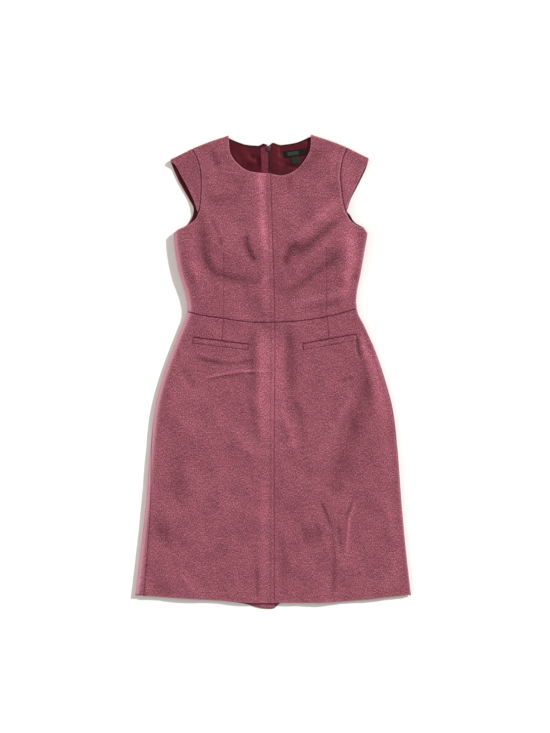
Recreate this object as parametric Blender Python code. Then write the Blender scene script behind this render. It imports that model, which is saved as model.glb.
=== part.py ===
"""Sheath dress of heathered wool, laid flat with its front up.

The frame has +X to the right of the laid dress, +Y towards its neck and +Z up, and the surface it lies
on is Z = 0. Left and right are the sides at -X and +X. Tables are in millimetres, and Blender gets metres.

Every panel is cut in the flat, as from cloth, and then laid on one form. A panel whose home is the front
has its plan as its cut. Past a side's silhouette or the shoulder line the cut runs on round a roll of
cloth, and then under the dress. A panel whose home is the back does the same from below.
"""

import math
from collections import namedtuple

import bmesh
import bpy
from mathutils import Matrix, Vector
from mathutils.geometry import delaunay_2d_cdt

MM = 0.001

# Cloth and trim, thickness in millimetres.
WOOL = 2.0
SATIN = 1.0
TAPE = 1.0
LABEL = 1.0
WELT = 1.2
SEAM_GAP = 0.3
LAY_GAP = 0.3

FRONT = 1
BACK = -1

# A cross-section of the laid dress at height y: its silhouette at both sides, the radius of its side
# rolls, how high the front lies over the surface, and how far each side seam has crept onto the front.
Section = namedtuple("Section", "y left right roll crown seam_left seam_right")
SECTIONS = (
    Section(-475, -278.4, 279.2, 3.9, 7.6, 18.0, -2.0),
    Section(-448, -275.6, 276.8, 3.9, 7.8, 17.0, -2.0),
    Section(-356, -264.6, 266.6, 3.9, 8.0, 13.5, -2.0),
    Section(-256, -253.4, 257.2, 3.9, 8.0, 8.5, -1.0),
    Section(-156, -245.2, 249.6, 3.9, 8.0, 2.0, 1.0),
    Section(-76, -236.2, 240.4, 3.9, 8.0, -2.0, 2.0),
    Section(-16, -221.6, 224.6, 3.9, 8.2, -2.5, 1.5),
    Section(44, -200.4, 204.4, 4.0, 8.2, -3.0, -1.0),
    Section(92, -181.4, 183.2, 4.2, 8.4, -3.0, -3.0),
    Section(120, -171.2, 169.4, 4.5, 9.0, -3.0, -3.0),
    Section(152, -174.2, 167.4, 5.0, 10.4, -3.0, -3.0),
    Section(200, -188.4, 176.4, 5.8, 12.6, -3.0, -3.0),
    Section(248, -196.8, 184.6, 6.2, 13.2, -3.0, -3.0),
    Section(278, -198.6, 189.4, 6.2, 12.4, -3.0, -3.0),
    Section(320, -198.6, 189.4, 6.2, 10.2, -3.0, -3.0),
    Section(380, -198.6, 189.4, 6.2, 9.0, -3.0, -3.0),
    Section(475, -198.6, 189.4, 6.2, 8.2, -3.0, -3.0),
)
ARMPIT_Y = 278
ARMHOLE_SPREAD = 4.0
EDGE_RISE = 30.0

# Where the side seams meet the waist seam and the hem, and the heights at which the centre seams do.
WAIST_SIDE_X = 168
HEM_SIDE_Y = -448
HEM_SIDE_IN = 18
WAIST_CENTRE_Y = 100
HEM_CENTRE_Y = -460

# The shoulder's roll, and where its seam lies on it, in degrees from the front's top over the edge.
SHOULDER_ROLL = 3.9
SHOULDER_SEAM_DEG = 115
SLEEVE_TURN_DEG = (45, 90, 135)

Point = namedtuple("Point", "x y")
WAIST = (
    Point(-171, 120),
    Point(-134, 111.6),
    Point(-98, 106.6),
    Point(-46, 99.4),
    Point(-5, 99),
    Point(45, 101.2),
    Point(86, 106.6),
    Point(122, 113.4),
    Point(168, 126.4),
)
FRONT_HEM = (
    Point(-276, -447),
    Point(-186, -453),
    Point(-106, -458),
    Point(-46, -461.6),
    Point(24, -462.2),
    Point(94, -462.2),
    Point(144, -459.6),
    Point(204, -454),
    Point(277, -445.6),
)
BACK_HEM = (
    Point(-276, -447),
    Point(-150, -455),
    Point(-62, -463.6),
    Point(-24, -473.4),
    Point(0, -474.6),
    Point(5, -472.4),
    Point(7, -470),
    Point(15, -463.4),
    Point(60, -458),
    Point(150, -452),
    Point(277, -445.6),
)
CENTRE_FRONT = (Point(2.4, -475), Point(2.4, -116), Point(3.6, 99), Point(-4.6, 396.8), Point(-5, 475))
CENTRE_BACK = (Point(6, -475), Point(1.4, 100), Point(-5.8, 397), Point(-8, 452), Point(-8, 475))

# The curves of each side, from the centre out or from the shoulder down.
Side = namedtuple(
    "Side",
    "name sign shoulder front_neck back_neck notch seam_front edge_front armhole_front"
    " seam_back edge_back armhole_back",
)
LEFT = Side(
    name="left",
    sign=-1,
    shoulder=(Point(-88.6, 473), Point(-126, 460.6), Point(-160.4, 446.8), Point(-205, 425)),
    front_neck=(
        Point(-4.6, 396.8),
        Point(-24.4, 397.8),
        Point(-44.8, 400.8),
        Point(-60, 407.8),
        Point(-75.6, 422.2),
        Point(-85.6, 440),
        Point(-88.6, 469.1),
    ),
    back_neck=(Point(-29.6, 453.2), Point(-55.6, 455.8), Point(-80, 464.6), Point(-88.6, 469.1)),
    notch=(Point(-9.1, 451.4), Point(-12, 455), Point(-18.8, 457.4), Point(-24, 455), Point(-29.6, 453.2)),
    seam_front=(
        Point(-160.4, 442.9),
        Point(-154, 433),
        Point(-148.8, 420),
        Point(-144.8, 402),
        Point(-143.4, 378),
        Point(-144, 350),
        Point(-147.4, 323),
    ),
    edge_front=(
        Point(-205, 421.1),
        Point(-194.6, 413),
        Point(-184.6, 394.6),
        Point(-171.8, 371.6),
        Point(-159, 344.8),
        Point(-151.2, 321),
    ),
    armhole_front=(
        Point(-147.4, 323),
        Point(-152.6, 309),
        Point(-159.6, 301),
        Point(-171.8, 293),
        Point(-189, 284.8),
    ),
    seam_back=(Point(-160.4, 442.9), Point(-150, 418), Point(-146, 380), Point(-150, 340), Point(-154, 322)),
    edge_back=(
        Point(-205, 421.1),
        Point(-198.6, 404.8),
        Point(-188.4, 381.8),
        Point(-174.8, 357.6),
        Point(-159, 330),
    ),
    armhole_back=(
        Point(-154, 322),
        Point(-160, 311),
        Point(-166, 300),
        Point(-172, 293.8),
        Point(-189, 285.4),
    ),
)
RIGHT = Side(
    name="right",
    sign=1,
    shoulder=(Point(76.4, 474.8), Point(112, 463.4), Point(147.4, 449.4), Point(192, 427.6)),
    front_neck=(
        Point(-4.6, 396.8),
        Point(7, 393.8),
        Point(18, 392.8),
        Point(32, 396.2),
        Point(47, 404.8),
        Point(58, 415.6),
        Point(68, 430.8),
        Point(74.6, 446),
        Point(76.4, 470.9),
    ),
    back_neck=(Point(16.4, 454.6), Point(46.4, 459.4), Point(68, 468), Point(76.4, 470.9)),
    notch=(Point(-6.9, 451.4), Point(-4.4, 456), Point(0, 459), Point(8, 456.4), Point(16.4, 454.6)),
    seam_front=(
        Point(147.4, 445.5),
        Point(141, 429),
        Point(136.6, 408),
        Point(135, 388),
        Point(137.4, 366),
        Point(140.4, 342),
        Point(145.6, 321),
    ),
    edge_front=(
        Point(192, 423.7),
        Point(182, 404),
        Point(165, 369.6),
        Point(152.8, 341.6),
        Point(148.6, 321),
    ),
    armhole_front=(
        Point(145.6, 321),
        Point(152.8, 307),
        Point(159, 299.4),
        Point(168, 293.6),
        Point(182, 287.4),
    ),
    seam_back=(Point(147.4, 445.5), Point(139, 418), Point(136, 380), Point(140, 344), Point(147.6, 322)),
    edge_back=(
        Point(192, 423.7),
        Point(183.6, 404),
        Point(167, 369.6),
        Point(155.6, 346),
        Point(150.4, 328),
    ),
    armhole_back=(
        Point(147.6, 322),
        Point(152, 314),
        Point(158.4, 302.4),
        Point(166.4, 296.4),
        Point(182, 289.4),
    ),
)

# Soft hills and troughs of the front. A cup is the fullness over the bust that the darts give.
Cup = namedtuple("Cup", "x y reach_x reach_y height")
CUPS = (
    Cup(-96, 246, 50, 58, 8.0),
    Cup(102, 250, 50, 58, 8.0),
)
Fold = namedtuple("Fold", "x0 y0 x1 y1 half_width height")
FOLDS = (
    # Bodice: the trough round the left cup, the slanted troughs and ridges of the right one.
    Fold(-142, 304, -134, 232, 11, -3.6),
    Fold(-134, 232, -112, 194, 11, -3.4),
    Fold(-112, 194, -64, 166, 10, -2.4),
    Fold(-54, 270, -46, 232, 8, -2.8),
    Fold(-34, 214, 0, 170, 10, 2.0),
    Fold(148, 312, 56, 236, 13, -3.6),
    Fold(56, 236, 20, 204, 11, -3.6),
    Fold(120, 330, 40, 262, 11, 2.2),
    Fold(144, 214, 34, 146, 13, -3.0),
    Fold(110, 226, 20, 166, 10, 1.8),
    Fold(-16, 386, -14, 130, 11, 1.4),
    Fold(160, 270, 152, 150, 13, 1.6),
    # Skirt: the two creases below the left welt, the hollows at the hips, the creases near the hem.
    Fold(-138, 16, -24, 20, 8, -1.8),
    Fold(-122, -12, -12, 4, 8, 1.9),
    Fold(-176, -26, -146, -78, 14, -1.7),
    Fold(-10, 60, -8, -440, 12, 1.0),
    Fold(34, 76, 44, -60, 14, -1.7),
    Fold(186, 60, 186, -66, 14, -1.8),
    Fold(140, -20, 70, -170, 16, -1.2),
    Fold(96, -254, 110, -330, 9, -1.6),
    Fold(158, -258, 136, -366, 9, 1.9),
    Fold(-150, -250, -120, -400, 22, -1.2),
    Fold(120, -400, 60, -450, 16, -1.0),
)

# Pocket welts: the upper corner nearest the side, the upper corner nearest the centre, and the height.
Welt = namedtuple("Welt", "outer inner height")
WELTS = {
    "left": Welt(Point(-158.6, 68), Point(-50, 54.4), 10.0),
    "right": Welt(Point(166, 74.4), Point(60, 55.4), 11.0),
}

# The zip. The cloth lifts over the pull tab, which lies under it.
TAPE_WIDTH = 15.4
TAPE_TOP = 450.0
TAPE_END = -20.0
TAPE_INNER = 1.1
ZIP_LIFT = 2.4
LIFT_TOP_HALF = 6.0
LIFT_FOOT_HALF = 20.0
LIFT_START_Y = 402.0
LIFT_FULL_Y = 420.0
LIFT_SLACK = 0.4
LIFT_ROWS = (LIFT_START_Y, (LIFT_START_Y + LIFT_FULL_Y) / 2, LIFT_FULL_Y, 432.0, 446.0)
ZIP_PARTING = 1.1
ZIP_PARTING_ROWS = (440.0, 446.0)
SLIDER_Y = 446.6
SLIDER_SIZE = (6.4, 9.6, 2.4)
SLIDER_BEVEL = 0.7
LUG_THICK = 1.2
LUG_LENGTH = 6.8
LUG_FOOT = 0.3
LUG_CORNER = 1.0
PIN_Z = 1.5
PIN_RADIUS = 0.45
PIN_HOLE_RADIUS = 0.75
PIN_HALF_LENGTH = 1.6
PIN_SLIMMER = 0.98
ROUND_STEPS = 16
TabRow = namedtuple("TabRow", "y half_width")
TAB_ROWS = (
    TabRow(0.5, 1.7),
    TabRow(-0.2, 2.2),
    TabRow(-4.6, 2.2),
    TabRow(-8, 1.5),
    TabRow(-12, 1.8),
    TabRow(-16, 2.7),
    TabRow(-19, 3.0),
    TabRow(-21.4, 2.3),
    TabRow(-22.6, 0.8),
)
TAB_SLOT_HALF = 1.0
TAB_SLOT_END = -4.3

# Where a flat shape's own axes point once it is placed.
STRAIGHT = ((1, 0, 0), (0, 1, 0), (0, 0, 1))
UPRIGHT = ((0, 1, 0), (0, 0, 1), (1, 0, 0))
ACROSS = ((0, 0, 1), (0, 1, 0), (-1, 0, 0))

# The lining of the upper back, and the labels on its right half.
LINING_LOW = 236.0
LINING_TOP = 452.0
LINING_TOP_SLOPE = 0.05
LINING_EDGE = 1.6
LINING_CLEAR = 3.8
LINING_SHOULDER = 6.5
LINING_CORNER = 4.0
LINING_BESIDE = 0.4
LINING_FROM_ROLL = 5.0
SLEEVE_LINING_SHIFT = 1.0

# How far beyond the right tape the lining over it starts down, has come down, and next bends.
STEP_REACHES = (1.0, 6.0, 20.0)
STEP_START = 1.5
STEP_RUN = 4.0
LABEL_CORNER = Point(20.4, 441.6)
LABEL_SIZE = (46.0, 13.4)
LABEL_TILT_DEG = 8.0
SIZE_TAB_SIZE = (16.6, 14.6)
SIZE_TAB_ALONG = 14.0

# How finely the panels are cut into facets.
FRONT_STEP = 17.0
SKIRT_STEP = 23.0
BACK_STEP = 42.0
SEAM_STEP = 19.0
CURVE_STEP = 13.0
NOTCH_STEP = 5.0
SMALL_STEP = 24.0
FOLD_STEP = 13.0
FOLD_FOOT = 1.3
SKIRT_FOLD_STEP = 17.0
ROLL_STEPS = 5

# The least distance between a panel's points, by kind of row, and the shares of it kept to other things.
ROLL_APART = 1.8
SLEEVE_APART = 2.6
LIFT_APART = 4.0
LINING_LIFT_APART = 3.0
STEP_APART = 3.5
FOLD_APART = 8.0
SKIRT_FOLD_APART = 10.0
FROM_OUTLINE = 0.55
FROM_LOOP = 0.4
FROM_POINT = 0.7

Finish = namedtuple("Finish", "red green blue roughness metallic")
FINISHES = {
    "wool": Finish(0.34, 0.085, 0.14, 0.95, 0.0),
    "satin": Finish(0.12, 0.014, 0.024, 0.45, 0.0),
    "tape": Finish(0.22, 0.03, 0.07, 0.7, 0.0),
    "label": Finish(0.008, 0.01, 0.009, 0.6, 0.0),
    "metal": Finish(0.45, 0.42, 0.4, 0.35, 1.0),
}


def smooth_value(keys, values, at):
    """A smooth curve through a table's rows, level past its ends."""
    if at <= keys[0]:
        return values[0]
    if at >= keys[-1]:
        return values[-1]
    i = max(k for k in range(len(keys) - 1) if keys[k] <= at)
    span = keys[i + 1] - keys[i]

    def slope(k):
        low, high = max(k - 1, 0), min(k + 1, len(keys) - 1)
        return (values[high] - values[low]) / (keys[high] - keys[low])

    t = (at - keys[i]) / span
    start, end = slope(i) * span, slope(i + 1) * span
    return (
        (2 * t**3 - 3 * t**2 + 1) * values[i]
        + (t**3 - 2 * t**2 + t) * start
        + (3 * t**2 - 2 * t**3) * values[i + 1]
        + (t**3 - t**2) * end
    )


def column(name):
    keys = [row.y for row in SECTIONS]
    values = [getattr(row, name) for row in SECTIONS]
    return lambda y: smooth_value(keys, values, y)


def by_x(points):
    ordered = sorted(points)
    keys = [p.x for p in ordered]
    values = [p.y for p in ordered]
    return lambda x: smooth_value(keys, values, x)


def by_y(points):
    keys = [p.y for p in points]
    values = [p.x for p in points]
    return lambda y: smooth_value(keys, values, y)


left_edge = column("left")
right_edge = column("right")
roll_radius = column("roll")
crown = column("crown")
seam_creep = {"left": column("seam_left"), "right": column("seam_right")}
waist = by_x(WAIST)
front_hem = by_x(FRONT_HEM)
back_hem = by_x(BACK_HEM)
centre_front = by_y(CENTRE_FRONT)
centre_back = by_y(CENTRE_BACK)
shoulder_of = {-1: by_x(LEFT.shoulder), 1: by_x(RIGHT.shoulder)}


def shoulder(x):
    return shoulder_of[-1 if x < 0 else 1](x)


def ease(t):
    t = min(max(t, 0.0), 1.0)
    return t * t * (3 - 2 * t)


def edge_of(x, y):
    """The silhouette of the side that x is on, which above the armpit moves off the cloth."""
    spread = ARMHOLE_SPREAD * max(0.0, y - ARMPIT_Y)
    return left_edge(y) - spread if x < 0 else right_edge(y) + spread


def segment_distance(x, y, x0, y0, x1, y1):
    along_x, along_y = x1 - x0, y1 - y0
    t = ((x - x0) * along_x + (y - y0) * along_y) / (along_x**2 + along_y**2)
    t = min(max(t, 0.0), 1.0)
    return math.hypot(x - x0 - t * along_x, y - y0 - t * along_y)


def relief(x, y):
    total = 0.0
    for cup in CUPS:
        away = ((x - cup.x) / cup.reach_x) ** 2 + ((y - cup.y) / cup.reach_y) ** 2
        total += cup.height * math.exp(-away)
    for fold in FOLDS:
        away = segment_distance(x, y, fold.x0, fold.y0, fold.x1, fold.y1) / fold.half_width
        total += fold.height * math.exp(-(away**2))
    return total


def front_height(x, y):
    """How high the front's face is, which falls to the top of the side and shoulder rolls."""
    radius = roll_radius(y)
    from_edge = abs(edge_of(x, y) - x)
    from_shoulder = shoulder(x) - y
    inside = ease((from_edge - radius) / EDGE_RISE)
    below = ease((from_shoulder - SHOULDER_ROLL) / EDGE_RISE)
    height = crown(y) + relief(x, y)
    height = 2 * SHOULDER_ROLL + below * (height - 2 * SHOULDER_ROLL)
    return 2 * radius + inside * (height - 2 * radius)


def back_height(x, y):
    """How high the back's face is, which is down on the surface but for the lift over the pull tab."""
    across = (LIFT_FOOT_HALF - abs(x - centre_back(y))) / (LIFT_FOOT_HALF - LIFT_TOP_HALF)
    along = (y - LIFT_START_Y) / (LIFT_FULL_Y - LIFT_START_Y)
    return ZIP_LIFT * min(max(across, 0.0), 1.0) * min(max(along, 0.0), 1.0)


def face_height(home, x, y):
    return front_height(x, y) if home == FRONT else back_height(x, y)


def round_roll(home, radius, arc):
    """For a length of cloth round a roll: how far out it ends, how high, and its length past the roll."""
    angle = min(arc / radius, math.pi)
    height = radius + home * radius * math.cos(angle)
    return radius * math.sin(angle), height, max(0.0, arc - math.pi * radius)


def laid_point(home, x, y):
    """Where a point of the cut lies, on the cloth's outer face."""
    past_shoulder = y - (shoulder(x) - SHOULDER_ROLL)
    if past_shoulder > 0:
        out, height, under = round_roll(home, SHOULDER_ROLL, past_shoulder)
        there = shoulder(x) - SHOULDER_ROLL + out - under
        return Vector((x, there, face_height(-home, x, there) if under else height))
    radius = roll_radius(y)
    edge = edge_of(x, y)
    sign = -1 if x < 0 else 1
    past_edge = sign * x - (sign * edge - radius)
    if past_edge > 0:
        out, height, under = round_roll(home, radius, past_edge)
        there = sign * (sign * edge - radius + out - under)
        return Vector((there, y, face_height(-home, there, y) if under else height))
    return Vector((x, y, face_height(home, x, y)))


def laid(home, x, y):
    """A point of the cut as laid, and the way out of the cloth there."""
    reach = 0.05
    along_x = laid_point(home, x + reach, y) - laid_point(home, x - reach, y)
    along_y = laid_point(home, x, y + reach) - laid_point(home, x, y - reach)
    return laid_point(home, x, y), home * along_x.cross(along_y).normalized()


def between(before, start, end, after, t):
    """A value on the smooth curve from start to end, which the values before and after them steer."""
    linear = end - before
    square = 2 * before - 5 * start + 4 * end - after
    cube = 3 * start - before - 3 * end + after
    return start + 0.5 * (linear * t + square * t**2 + cube * t**3)


def through(points, step):
    """Points a step apart along a smooth curve through the given ones."""
    ends = [points[0], *points, points[-1]]
    fine = []
    for a, b, c, d in zip(ends, ends[1:], ends[2:], ends[3:]):
        for k in range(8):
            fine.append(Point(between(a.x, b.x, c.x, d.x, k / 8), between(a.y, b.y, c.y, d.y, k / 8)))
    fine.append(points[-1])
    length = [0.0]
    for a, b in zip(fine, fine[1:]):
        length.append(length[-1] + math.dist(a, b))
    count = max(1, round(length[-1] / step))
    found = []
    for k in range(count + 1):
        want = length[-1] * k / count
        i = max(i for i in range(len(fine) - 1) if length[i] <= want + 1e-9)
        t = (want - length[i]) / max(length[i + 1] - length[i], 1e-9)
        here, there = fine[i], fine[i + 1]
        found.append(Point(here.x + t * (there.x - here.x), here.y + t * (there.y - here.y)))
    return found


def spaced(start, end, step):
    count = max(1, round(abs(end - start) / step))
    return [start + (end - start) * k / count for k in range(count + 1)]


def seam_cut(side, home, y):
    """The side seam in the cut of a panel of this home: how far out it is."""
    radius = roll_radius(y)
    creep = seam_creep[side.name](y)
    if home == BACK:
        creep = (2 - math.pi) * radius - creep
    edge = left_edge(y) if side.sign < 0 else right_edge(y)
    return edge - side.sign * creep


def roll_cuts(side, home, y):
    """Where the facets of the side roll run in the cut, from its start out to the seam."""
    radius = roll_radius(y)
    edge = left_edge(y) if side.sign < 0 else right_edge(y)
    start = edge - side.sign * radius
    limit = side.sign * seam_cut(side, home, y)
    found = []
    for k in range(ROLL_STEPS + 1):
        x = start + side.sign * radius * math.pi * k / ROLL_STEPS
        if side.sign * x < limit - 1.0:
            found.append(x)
    return found


def across_cut(side, home, centre, y, step):
    """Places from the centre out to the side seam at height y."""
    rolls = roll_cuts(side, home, y)
    seam = seam_cut(side, home, y)
    last = rolls[0] if rolls else seam
    flat = spaced(centre, last, step)
    return flat + rolls[1:] + ([seam] if rolls else [])


def hem_side_y(side):
    edge = left_edge(HEM_SIDE_Y) if side.sign < 0 else right_edge(HEM_SIDE_Y)
    return front_hem(edge - side.sign * HEM_SIDE_IN)


def waist_side_y(side):
    return waist(side.sign * WAIST_SIDE_X)


def over_shoulder(x, degrees):
    """A place on the shoulder's roll in the cut, in degrees from where the panel's own face ends."""
    return Point(x, shoulder(x) - SHOULDER_ROLL + SHOULDER_ROLL * math.radians(degrees))


def shoulder_seam_degrees(home):
    return SHOULDER_SEAM_DEG if home == FRONT else 180 - SHOULDER_SEAM_DEG


def shoulder_xs(side):
    return spaced(side.shoulder[0].x, side.shoulder[2].x, CURVE_STEP)


def bodice_outline(side, home):
    """The cut of one bodice half, round from the waist at its centre."""
    front = home == FRONT
    centre = centre_front if front else centre_back
    seam = side.seam_front if front else side.seam_back
    armhole = side.armhole_front if front else side.armhole_back
    low = centre(WAIST_CENTRE_Y)
    turn = shoulder_seam_degrees(home)
    outline = []
    if front:
        top = side.front_neck[0].y
        outline += [Point(centre(y), y) for y in spaced(waist(low), top, SEAM_STEP)[:-1]]
        outline += through(side.front_neck, CURVE_STEP)
    else:
        for y in [*spaced(waist(low), LIFT_START_Y, SEAM_STEP), *LIFT_ROWS[1:4]]:
            outline.append(Point(centre(y), y))
        for y in ZIP_PARTING_ROWS:
            outline.append(Point(centre(y) + side.sign * ZIP_PARTING, y))
        outline += through(side.notch, NOTCH_STEP)
        outline += through(side.back_neck, CURVE_STEP)[1:]
    neck_x = side.shoulder[0].x
    outline += [over_shoulder(neck_x, a) for a in (turn / 3, 2 * turn / 3)]
    outline += [over_shoulder(x, turn) for x in shoulder_xs(side)]
    tip_x = side.shoulder[2].x
    outline += [over_shoulder(tip_x, a) for a in (2 * turn / 3, turn / 3)]
    outline += through(seam, CURVE_STEP)
    outline += through(armhole, CURVE_STEP)[1:]
    side_ys = spaced(ARMPIT_Y, waist_side_y(side), SEAM_STEP)
    outline += [Point(seam_cut(side, home, y), y) for y in side_ys]
    level = waist_side_y(side)
    xs = across_cut(side, home, low, level, SEAM_STEP)[1:-1]
    outline += [Point(x, waist(x)) for x in reversed(xs)]
    return outline


def skirt_outline(side, home, hem):
    """The cut of one skirt half, round from the waist at its centre."""
    centre = centre_front if home == FRONT else centre_back
    low_y, high_y = hem_side_y(side), waist_side_y(side)
    start = centre(WAIST_CENTRE_Y)
    xs = across_cut(side, home, start, high_y, SEAM_STEP)[:-1]
    outline = [Point(x, waist(x)) for x in xs]
    outline += [Point(seam_cut(side, home, y), y) for y in spaced(high_y, low_y, SEAM_STEP)]
    foot = centre(HEM_CENTRE_Y)
    foot_xs = across_cut(side, home, foot, low_y, SEAM_STEP)[:-1]
    outline += [Point(x, hem(x)) for x in reversed(foot_xs)]
    outline += [Point(centre(y), y) for y in spaced(hem(foot), waist(start), SEAM_STEP)[1:-1]]
    return outline


def sleeve_outline(side):
    """The cut of a cap sleeve: its front layer, the shoulder's roll, then its back layer turned up."""

    def turned(points):
        return [
            Point(p.x, 2 * (shoulder(p.x) - SHOULDER_ROLL) + math.pi * SHOULDER_ROLL - p.y) for p in points
        ]

    inner_x, tip_x = side.shoulder[2].x, side.shoulder[3].x
    outline = list(reversed(through(side.seam_front, CURVE_STEP)))
    outline += [over_shoulder(inner_x, a) for a in SLEEVE_TURN_DEG]
    outline += turned(through(side.seam_back, CURVE_STEP))
    outline += turned(reversed(through(side.edge_back, CURVE_STEP)))
    outline += [over_shoulder(tip_x, a) for a in reversed(SLEEVE_TURN_DEG)]
    outline += through(side.edge_front, CURVE_STEP)
    return outline


def turning(outline):
    return sum(a.x * b.y - b.x * a.y for a, b in zip(outline, outline[1:] + outline[:1]))


def drawn_in(outline, amount):
    """The outline moved inwards, which leaves half a seam's gap to the next panel."""
    way = 1 if turning(outline) > 0 else -1
    found = []
    for before, here, after in zip(outline[-1:] + outline[:-1], outline, outline[1:] + outline[:1]):
        a = Vector((here.x - before.x, here.y - before.y)).normalized()
        b = Vector((after.x - here.x, after.y - here.y)).normalized()
        inward_a = Vector((-a.y, a.x)) * way
        inward_b = Vector((-b.y, b.x)) * way
        middle = inward_a + inward_b
        if middle.length < 0.2:
            middle = inward_a
        middle.normalize()
        stretch = min(1 / max(middle.dot(inward_a), 0.4), 2.5)
        found.append(Point(here.x + middle.x * amount * stretch, here.y + middle.y * amount * stretch))
    return found


def inside(outline, x, y):
    found = False
    for a, b in zip(outline, outline[1:] + outline[:1]):
        if (a.y > y) != (b.y > y) and x < (b.x - a.x) * (y - a.y) / (b.y - a.y) + a.x:
            found = not found
    return found


def nearest_edge(outline, x, y):
    return min(
        segment_distance(x, y, a.x, a.y, b.x, b.y) for a, b in zip(outline, outline[1:] + outline[:1])
    )


def lattice(outline, step):
    """Staggered rows of points over an outline."""
    low_x, high_x = min(p.x for p in outline), max(p.x for p in outline)
    low_y, high_y = min(p.y for p in outline), max(p.y for p in outline)
    found = []
    rise = step * math.sqrt(3) / 2
    for row in range(int((high_y - low_y) / rise) + 1):
        shift = 0.5 * step * (row % 2)
        for k in range(int((high_x - low_x) / step) + 1):
            found.append(Point(low_x + shift + k * step, low_y + (row + 0.5) * rise))
    return found


def fold_lines(step):
    """Points along each fold and at both its feet, so that the facets follow it."""
    found = []
    for fold in FOLDS:
        length = math.hypot(fold.x1 - fold.x0, fold.y1 - fold.y0)
        across_x = -(fold.y1 - fold.y0) / length * fold.half_width
        across_y = (fold.x1 - fold.x0) / length * fold.half_width
        for offset in (0.0, -FOLD_FOOT, FOLD_FOOT):
            for t in spaced(0.0, 1.0, step / length):
                found.append(
                    Point(
                        fold.x0 + t * (fold.x1 - fold.x0) + offset * across_x,
                        fold.y0 + t * (fold.y1 - fold.y0) + offset * across_y,
                    )
                )
    return found


def chosen(outline, loops, groups):
    """The inner points of a panel: each group's that keep their distance from its edge and each other."""
    kept = []
    fixed = [p for loop in loops for p in loop]
    for points, apart in groups:
        for p in points:
            if not inside(outline, p.x, p.y) or nearest_edge(outline, p.x, p.y) < FROM_OUTLINE * apart:
                continue
            if any(nearest_edge(loop, p.x, p.y) < FROM_LOOP * apart for loop in loops):
                continue
            if all(math.dist(p, q) > FROM_POINT * apart for q in kept + fixed):
                kept.append(p)
    return kept


def cut_cloth(outline, inner, loops=()):
    """Triangles over the outline through its inner points, with each loop's sides among the edges."""
    points = [Vector((p.x, p.y)) for p in [*outline, *inner]]
    edges = [(k, (k + 1) % len(outline)) for k in range(len(outline))]
    for loop in loops:
        first = len(points)
        points += [Vector((p.x, p.y)) for p in loop]
        edges += [(first + k, first + (k + 1) % len(loop)) for k in range(len(loop))]
    coords, _, faces, _, _, _ = delaunay_2d_cdt(points, edges, [], 1, 1e-5)
    return coords, [tuple(face) for face in faces]


def material(kind):
    finish = FINISHES[kind]
    found = bpy.data.materials.get(kind) or bpy.data.materials.new(kind)
    found.use_nodes = True
    shader = found.node_tree.nodes["Principled BSDF"]
    shader.inputs["Base Color"].default_value = (finish.red, finish.green, finish.blue, 1)
    shader.inputs["Roughness"].default_value = finish.roughness
    shader.inputs["Metallic"].default_value = finish.metallic
    found.diffuse_color = (finish.red, finish.green, finish.blue, 1)
    return found


def own_material(kind, name):
    found = material(kind).copy()
    found.name = f"{kind}_{name}"
    return found


def new_object(name, mesh, kind):
    obj = bpy.data.objects.new(name, mesh)
    mesh.materials.append(own_material(kind, name))
    bpy.data.collections["sheath_dress"].objects.link(obj)
    return obj


def wall(name, coords, faces, home, kind, out, thick):
    """A closed wall of cloth whose outer face lies `out` beyond the home's own face, or within it."""
    used = sorted({v for face in faces for v in face})
    index = {v: k for k, v in enumerate(used)}
    count = len(used)
    outer, inner = [], []
    for v in used:
        point, way = laid(home, *coords[v])
        depth = out(*coords[v]) if callable(out) else out
        outer.append((point + way * depth) * MM)
        inner.append((point + way * (depth - thick)) * MM)
    turned = []
    for face in faces:
        a, b, c = (coords[v] for v in face)
        ccw = (b.x - a.x) * (c.y - a.y) - (b.y - a.y) * (c.x - a.x) > 0
        face = tuple(index[v] for v in face)
        turned.append(face if ccw == (home == FRONT) else face[::-1])
    sides = {}
    for face in turned:
        for a, b in zip(face, face[1:] + face[:1]):
            sides[(a, b)] = True
    rim = [(a, b) for a, b in sides if (b, a) not in sides]
    everything = list(turned)
    everything += [tuple(v + count for v in face[::-1]) for face in turned]
    everything += [(b, a, a + count, b + count) for a, b in rim]
    mesh = bpy.data.meshes.new(name)
    mesh.from_pydata(outer + inner, [], everything)
    mesh.validate()
    mesh.shade_smooth()
    mesh.set_sharp_from_angle(angle=math.radians(40))
    return new_object(name, mesh, kind)


def roll_points(side, home, ys):
    """Points on the side roll, in rows that match the seam's."""
    return [Point(x, y) for y in ys for x in roll_cuts(side, home, y)]


def shoulder_roll_points(xs, degrees):
    return [over_shoulder(x, a) for x in xs for a in degrees]


def lift_points(side):
    """Points on the lines where the cloth's lift over the pull tab starts and ends."""
    reaches = (LIFT_TOP_HALF, (LIFT_TOP_HALF + LIFT_FOOT_HALF) / 2, LIFT_FOOT_HALF)
    return [Point(centre_back(y) + side.sign * d, y) for y in LIFT_ROWS for d in reaches]


def lift_slack(x, y):
    """What lies on the lifted cloth keeps a little more room, where the facets of the two can differ."""
    return LIFT_SLACK * min(1.0, back_height(x, y))


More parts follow.
